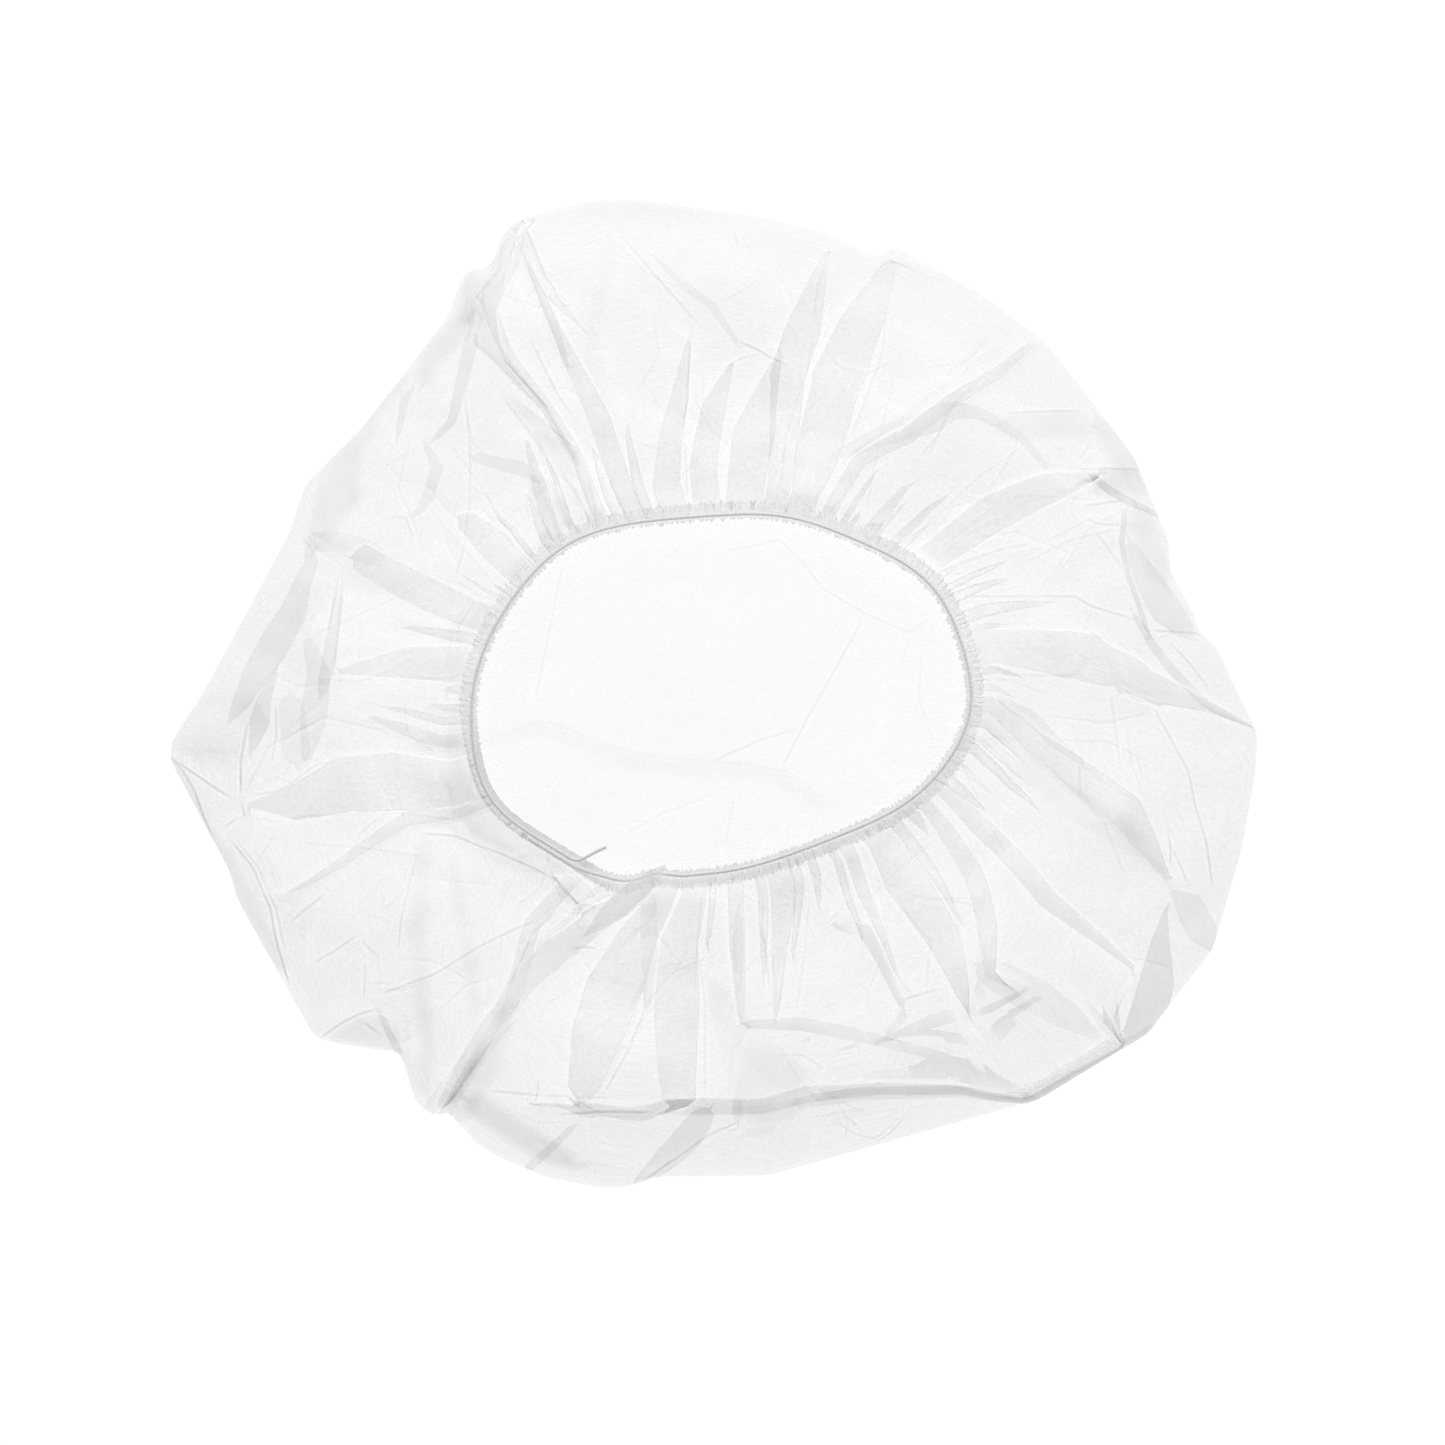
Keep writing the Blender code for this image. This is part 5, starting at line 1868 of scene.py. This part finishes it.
@dataclass
class Hem:
    """The gathered edge of the sheet: a narrow frill inside and outside the elastic."""

    plan: CapPlan
    outer_reach: float = 0.0028
    inner_reach: float = 0.0010
    ruffle_pitch: float = 0.0012
    ruffle_height: float = 0.00045
    roll_height: float = 0.0017
    sway: float = 0.0002
    scallop: float = 0.00035
    seat_height: float = 0.0129
    across_steps: int = 16
    along_steps: float = 8.0
    samples: int = 720
    profile_length: float = 0.001
    drift: float = 2.2
    drift_rate: float = 0.45
    uneven: float = 3.0
    uneven_rate: float = 0.8
    uneven_start: float = 40.0
    bubble_rates: tuple[float, float] = (1.5, 2.2)
    outer_opening: float = 1.6
    inner_opening: float = 0.5
    wave_rise: float = 0.25
    rolled_scallop: float = 0.8
    rolled_narrowing: float = 0.4
    rolled_pressing: float = 0.7
    crest_density: float = 0.05
    crest_power: float = 3.0
    least_density: float = 0.05
    bubble_density: float = 0.5
    rolled_bubbles: float = 0.3
    outward_fade: float = 0.12
    lip_density: float = 0.2
    lip_power: float = 8.0
    inner_density: float = 0.25
    rolled_inner: float = 0.45
    rolled_density: float = 0.8
    rolled_fade: float = 0.7

    def build(self, cloth: bpy.types.Material) -> bpy.types.Object:
        """Makes the ruffled ribbon.

        Args:
            cloth: The gathered nonwoven's material.

        Returns:
            The finished object.
        """
        turns = np.linspace(0, math.tau, self.samples, endpoint=False)
        edge = self.plan.edge(turns)
        points = np.concatenate([edge, np.full((self.samples, 1), self.seat_height)], axis=1)
        ahead = np.roll(edge, -1, axis=0) - np.roll(edge, 1, axis=0)
        ahead /= np.linalg.norm(ahead, axis=1)[:, None]
        outward = np.stack([ahead[:, 1], -ahead[:, 0], np.zeros(self.samples)], axis=1)
        base = line_mesh("hem_line", points, True, {
            "outward": ("FLOAT_VECTOR", outward), "rolled": ("FLOAT", self.plan.rolled(turns)),
        })
        return run_tree(self._tree(), "hem_frill", base, {
            "Outer Reach": self.outer_reach, "Inner Reach": self.inner_reach,
            "Ruffle Pitch": self.ruffle_pitch, "Ruffle Height": self.ruffle_height,
            "Roll Height": self.roll_height, "Sway": self.sway, "Scallop": self.scallop,
            "Across": self.across_steps, "Material": cloth,
        })

    def _tree(self) -> ShapeTree:
        """Makes the geometry tree that turns the mouth's line into a ruffled ribbon.

        Returns:
            The tree's graph.
        """
        sizes = ("Outer Reach", "Inner Reach", "Ruffle Pitch", "Ruffle Height", "Roll Height",
                 "Sway", "Scallop")
        graph = ShapeTree("hem ruffles", sizes, Across="Int")
        read = graph.read
        curve = graph.value("GeometryNodeMeshToCurve", {0: read("Geometry")})
        curve = graph.value("GeometryNodeResampleCurve",
                            {"Curve": curve, "Length": read("Ruffle Pitch") / self.along_steps},
                            mode="LENGTH")
        way = graph.value("GeometryNodeSplineParameter", output="Length")
        spot = graph.value("GeometryNodeInputPosition")
        curve = self._store(graph, curve, "way", "FLOAT", way)
        curve = self._store(graph, curve, "spot", "FLOAT_VECTOR", spot)
        profile = graph.value("GeometryNodeCurvePrimitiveLine",
                              {"Start": (0.0, 0.0, 0.0), "End": (self.profile_length, 0.0, 0.0)})
        profile = graph.value("GeometryNodeResampleCurve",
                              {"Curve": profile, "Count": read("Across")}, mode="COUNT")
        across = graph.value("GeometryNodeSplineParameter", output="Factor")
        profile = self._store(graph, profile, "across", "FLOAT", across)
        ribbon = graph.value("GeometryNodeCurveToMesh", {"Curve": curve, "Profile Curve": profile})
        place, cover = self._shape(graph)
        ribbon = graph.value("GeometryNodeSetPosition", {"Geometry": ribbon, "Position": place})
        ribbon = self._store(graph, ribbon, "cloth_density_and_shade", "FLOAT", cover)
        graph.finish(ribbon)
        return graph

    def _store(self, graph: Graph, geometry: Value, label: str, kind: str,
               value: Value) -> Value:
        """Stores a value on the points of a geometry, under a name."""
        return graph.value("GeometryNodeStoreNamedAttribute",
                           {"Geometry": geometry, "Name": label, "Value": value},
                           data_type=kind, domain="POINT")

    def _named(self, graph: Graph, label: str, kind: str) -> Value:
        """A stored value, read back."""
        return graph.value("GeometryNodeInputNamedAttribute", {"Name": label}, data_type=kind)

    def _shape(self, graph: ShapeTree) -> tuple[Value, Value]:
        """Shapes the ribbon by the way along it and across it.

        Args:
            graph: The tree's graph.

        Returns:
            Each point's place and density.
        """
        read = graph.read
        way = self._named(graph, "way", "FLOAT")
        across = self._named(graph, "across", "FLOAT")
        spot = self._named(graph, "spot", "FLOAT_VECTOR")
        outward = self._named(graph, "outward", "FLOAT_VECTOR")
        rolled = self._named(graph, "rolled", "FLOAT")
        pitch = read("Ruffle Pitch")
        drift = graph.noise("1D", way / pitch * self.drift_rate, 1.0)
        phase = (way / pitch + drift * self.drift) * math.tau
        wave = graph.math("SINE", phase)
        double = graph.math("SINE", phase * 2.0)
        reach = across * (read("Outer Reach") + read("Inner Reach")) - read("Inner Reach")
        outside = graph.math("MAXIMUM", reach / read("Outer Reach"), 0.0)
        inside = graph.math("MAXIMUM", 0.0 - reach / read("Inner Reach"), 0.0)
        opening = (outside * self.outer_opening).clamp()
        open_up = opening + inside * self.inner_opening
        uneven = graph.noise("1D", way / pitch * self.uneven_rate + self.uneven_start, 1.0)
        along_rate, across_rate = self.bubble_rates
        spread = graph.value("ShaderNodeCombineXYZ",
                             {"X": way / pitch * along_rate, "Y": reach / pitch * across_rate})
        bubbles = graph.noise("2D", spread, 2.0)
        frayed = wave + (uneven - 0.5) * self.uneven
        scallop = read("Scallop") * frayed * (outside ** 2.0 + inside)
        scallop = scallop * (1 - rolled * self.rolled_scallop)
        outer = graph.math("SIGN", reach)
        side = reach * (1 - rolled * outer * self.rolled_narrowing) + scallop * outer
        puff = wave * self.wave_rise + self.wave_rise + bubbles
        rise = read("Ruffle Height") * open_up * puff * (1 - rolled * self.rolled_pressing)
        rise = rise + read("Roll Height") * rolled * opening
        slip = read("Sway") * open_up * double
        tangent = graph.vector("CROSS_PRODUCT", (0.0, 0.0, 1.0), outward)
        place = graph.vector("ADD", spot, self._scaled(graph, outward, side))
        place = graph.vector("ADD", place, self._scaled(graph, tangent, slip))
        lift = graph.value("ShaderNodeCombineXYZ", {"Z": rise})
        place = graph.vector("ADD", place, lift)
        flat = 1 - rolled
        cover = (abs(wave) ** self.crest_power) * self.crest_density + self.least_density
        cover = cover + (bubbles - 0.5) * (self.bubble_density - rolled * self.rolled_bubbles)
        cover = cover - outside * flat * self.outward_fade
        cover = cover + (outside ** self.lip_power) * flat * self.lip_density
        cover = cover + inside * (self.inner_density - rolled * self.rolled_inner)
        cover = cover + rolled * self.rolled_density * (1 - outside * self.rolled_fade)
        return place, cover

    def _scaled(self, graph: Graph, vector: Value, factor: Value) -> Value:
        """A vector times a number."""
        return graph.value("ShaderNodeVectorMath", {0: vector, "Scale": factor}, operation="SCALE")


@dataclass
class CoverFold:
    """A rolled fold of the gathered edge that lies over the elastic beside its join."""

    plan: CapPlan
    middle: tuple[Spot, ...] = spots(
        (666, 864, 0.05), (655, 874, 0.30), (640, 886, 0.42), (622, 902, 0.50),
        (606, 916, 0.40), (586, 934, 0.05),
    )
    least_height: float = 0.0159
    clearance: float = 0.0008
    smoothing: int = 9
    thickness: float = 0.0014
    edge_density: float = 0.15
    edge_power: int = 8
    roll: float = 0.25
    rings: int = 48
    sides: int = 18

    def build(self, cloth: bpy.types.Material) -> bpy.types.Object:
        """Makes the fold as one flattened roll.

        Args:
            cloth: The gathered nonwoven's material.

        Returns:
            The finished object.
        """
        stops = np.linspace(0, 1, len(self.middle))
        ways = np.linspace(0, 1, self.rings)
        spine = photo_points(self.middle, self.plan.half)
        spine = np.stack([np.interp(ways, stops, spine[:, k]) for k in range(2)], axis=1)
        half = np.interp(ways, stops, [spot.width for spot in self.middle]) * MARK_WIDTH / 2
        turn, share = self.plan.locate(spine)
        low = np.maximum(self.plan.height(turn, share) + self.clearance, self.least_height)
        blend = np.full(self.smoothing, 1 / self.smoothing)
        low = np.convolve(np.pad(low, self.smoothing // 2, mode="edge"), blend, mode="valid")
        ahead = np.gradient(spine, axis=0)
        ahead /= np.linalg.norm(ahead, axis=1)[:, None]
        side = np.stack([-ahead[:, 1], ahead[:, 0]], axis=1)
        rim = np.linspace(0, math.tau, self.sides, endpoint=False)
        thick = self.thickness / 2 * np.sqrt(half / half.max())
        across = half[:, None] * np.cos(rim) * (1 + self.roll * np.sin(rim))
        points = np.concatenate([
            spine[:, None, :] + side[:, None, :] * across[..., None],
            (low[:, None] + thick[:, None] * (1 + np.sin(rim)))[..., None],
        ], axis=-1)
        faces = [(i * self.sides + k, i * self.sides + (k + 1) % self.sides,
                  (i + 1) * self.sides + (k + 1) % self.sides, (i + 1) * self.sides + k)
                 for i in range(self.rings - 1) for k in range(self.sides)]
        faces.append(tuple(range(self.sides))[::-1])
        faces.append(tuple(range((self.rings - 1) * self.sides, self.rings * self.sides)))
        mesh = bpy.data.meshes.new("hem_cover_fold")
        mesh.from_pydata(points.reshape(-1, 3).tolist(), [], faces)
        # Painted shade along the roll's sides, where its surface turns down
        shade = self.edge_density * np.abs(np.cos(rim)) ** self.edge_power
        store(mesh, "cloth_density_and_shade", "FLOAT", np.broadcast_to(shade, (self.rings, self.sides)))
        mesh.shade_smooth()
        mesh.materials.append(cloth)
        return add_object("hem_cover_fold", mesh)


@dataclass
class Elastic:
    """The strand sewn round the mouth, whose two ends lie beside each other at one place."""

    plan: CapPlan
    diameter: float = 0.00084
    seam_gap: float = 0.0003
    lap: float = 0.009
    join_turn: float = math.radians(227)
    tail_turn: float = math.radians(58)
    tail_length: float = 0.0078
    tail_steps: tuple[tuple[float, float], ...] = (
        (0.3, 0.12), (0.65, 0.12), (1.0, 0.26), (1.05, 0.26), (0.95, 0.24),
    )
    stitch_pitch: float = 0.0010
    stitch_share: float = 0.36
    wrap_share: float = 1.02
    core_share: float = 0.86
    sides: int = 10
    samples: int = 900

    def route(self, height: float) -> Array:
        """Lays the strand round the mouth, past its own start and into its free end.

        Args:
            height: The height of its middle.

        Returns:
            The points along it.
        """
        radius = float(np.linalg.norm(self.plan.edge(np.array(self.join_turn)) - self.plan.middle))
        lap = self.lap / radius
        past = np.linspace(-lap, math.tau, self.samples)
        outside = (self.diameter + self.seam_gap) * (1 - ease(past / lap))
        edge = self.plan.edge(self.join_turn + past)
        ways = edge - self.plan.middle
        ways /= np.linalg.norm(ways, axis=1)[:, None]
        path = [tuple(point) for point in edge + ways * outside[:, None]]
        (ax, ay), (x, y) = path[-2:]
        heading = math.atan2(y - ay, x - ax)
        for turned, length in self.tail_steps:
            x += length * self.tail_length * math.cos(heading + turned * self.tail_turn)
            y += length * self.tail_length * math.sin(heading + turned * self.tail_turn)
            path.append((x, y))
        return np.array([(x, y, height) for x, y in path])

    def build(self, rubber: bpy.types.Material) -> bpy.types.Object:
        """Makes the strand with its stitches.

        Args:
            rubber: The elastic's material.

        Returns:
            The finished object.
        """
        low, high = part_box("elastic_band")
        base = line_mesh("elastic_line", self.route((low.z + high.z) / 2), False, {})
        return run_tree(self._tree(), "elastic_strand", base, {
            "Radius": self.diameter / 2, "Stitch Pitch": self.stitch_pitch, "Material": rubber,
        })

    def _tree(self) -> ShapeTree:
        """Makes the geometry tree of the strand and the stitches across it.

        Returns:
            The tree's graph.
        """
        graph = ShapeTree("stitched elastic", ("Radius", "Stitch Pitch"))
        radius, pitch = graph.read("Radius"), graph.read("Stitch Pitch")
        line = graph.value("GeometryNodeMeshToCurve", {0: graph.read("Geometry")})
        line = graph.value("GeometryNodeSetCurveNormal", {0: line}, mode="Z_UP")
        core = graph.value("GeometryNodeResampleCurve",
                           {"Curve": line, "Length": pitch / 3.0}, mode="LENGTH")
        circle = graph.value("GeometryNodeCurvePrimitiveCircle",
                             {"Resolution": self.sides, "Radius": radius * self.core_share})
        strand = graph.value("GeometryNodeCurveToMesh",
                             {"Curve": core, "Profile Curve": circle, "Fill Caps": True})
        marks = graph.value("GeometryNodeResampleCurve",
                            {"Curve": line, "Length": pitch}, mode="LENGTH")
        tangent = graph.value("GeometryNodeInputTangent")
        turn = graph.value("FunctionNodeAlignRotationToVector", {"Vector": tangent}, axis="X")
        bead = graph.value("GeometryNodeMeshIcoSphere", {"Radius": 1.0, "Subdivisions": 2})
        size = graph.value("ShaderNodeCombineXYZ",
                           {"X": pitch * self.stitch_share, "Y": radius * self.wrap_share,
                            "Z": radius * self.wrap_share})
        wraps = graph.value("GeometryNodeInstanceOnPoints",
                            {"Points": marks, "Instance": bead, "Rotation": turn, "Scale": size})
        join = graph.node("GeometryNodeJoinGeometry")
        graph.link(strand, join, 0)
        graph.link(wraps, join, 0)
        graph.finish(Value(graph, join.outputs[0]))
        return graph


@dataclass
class Studio:
    """The pale floor, the soft light and the camera straight above the cap."""

    frame_width: float = 0.3124
    centre: tuple[float, float] = (0.0019, -0.0062)
    sharp_height: float = 0.0075
    lens: float = 100.0
    sensor: float = 36.0
    floor_size: float = 4.0
    floor_colour: Colour = (0.10, 0.10, 0.10, 1.0)
    floor_roughness: float = 0.9
    floor_glow: float = 0.97
    sky: float = 0.23
    key_power: float = 2.25
    key_place: tuple[float, float, float] = (0.05, 0.45, 0.45)
    key_size: float = 0.5

    def build(self) -> None:
        """Adds everything that isn't the cap."""
        self._floor()
        self._sky()
        self._key()
        self._camera()

    def _floor(self) -> None:
        """A plain white floor that glows softly, as a lit product table does."""
        half = self.floor_size / 2
        mesh = bpy.data.meshes.new("floor")
        corners = [(-half, -half, 0.0), (half, -half, 0.0), (half, half, 0.0), (-half, half, 0.0)]
        mesh.from_pydata(corners, [], [(0, 1, 2, 3)])
        floor = add_object("floor", mesh)
        material, _, shader = new_material("floor")
        shader.inputs["Base Color"].default_value = self.floor_colour
        shader.inputs["Roughness"].default_value = self.floor_roughness
        shader.inputs["Emission Color"].default_value = WHITE
        shader.inputs["Emission Strength"].default_value = self.floor_glow
        mesh.materials.append(material)

    def _sky(self) -> None:
        """Even white light from all round."""
        world = bpy.data.worlds.new("soft light")
        world.use_nodes = True
        background = world.node_tree.nodes["Background"]
        background.inputs["Color"].default_value = WHITE
        background.inputs["Strength"].default_value = self.sky
        bpy.context.scene.world = world

    def _key(self) -> None:
        """One large soft light behind the cap's back edge."""
        light = bpy.data.lights.new("key", "AREA")
        light.shape = "DISK"
        light.size = self.key_size
        light.energy = self.key_power
        key = add_object("key", light)
        key.location = self.key_place
        key.rotation_euler = (-Vector(self.key_place)).to_track_quat("-Z", "Y").to_euler()

    def _camera(self) -> None:
        """A long lens straight above the cap, framed as wide as the photograph."""
        camera = bpy.data.cameras.new("camera")
        camera.lens = self.lens
        camera.sensor_width = self.sensor
        made = add_object("camera", camera)
        distance = self.frame_width * self.lens / self.sensor
        made.location = (*self.centre, self.sharp_height + distance)
        scene = bpy.context.scene
        scene.camera = made
        scene.view_settings.view_transform = "Standard"


def report(piece: bpy.types.Object) -> None:
    """Logs a piece's name and its number of faces."""
    LOG.info("%s: %d faces", piece.name, len(piece.data.polygons))


def main() -> None:
    """Builds the cap and the studio."""
    logging.basicConfig(level=logging.INFO, format="%(message)s")
    plan = CapPlan("crown", "hem")
    tracks = PleatTracks(plan)
    columns = FoldedColumns(tracks)
    cloth = Nonwoven("nonwoven").build()
    gathered = Nonwoven("gathered nonwoven", cover=0.36, cloud_cover=0.05, marked=False).build()
    plain = Nonwoven("nonwoven beneath", marked=False).build()
    crown = Crown(plan, columns, RoundFold(plan)).build(cloth, plain)
    hem = Hem(plan).build(gathered)
    rolled = Nonwoven("rolled nonwoven", cover=0.19, marked=False).build()
    fold = CoverFold(plan).build(rolled)
    elastic = Elastic(plan).build(ElasticRubber("stitched elastic").build())
    crown.visible_shadow = False
    hem.visible_shadow = False
    fold.visible_shadow = False
    for piece, node, slot in ((crown, "crown", "nonwoven_fabric"), (hem, "hem", "gathered_hem"),
                              (fold, "hem", "gathered_hem"), (elastic, "elastic_band", "elastic")):
        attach(piece, "root")
        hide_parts(node)
        report(piece)
    Studio().build()
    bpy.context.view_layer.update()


if __name__ == "__main__":
    main()
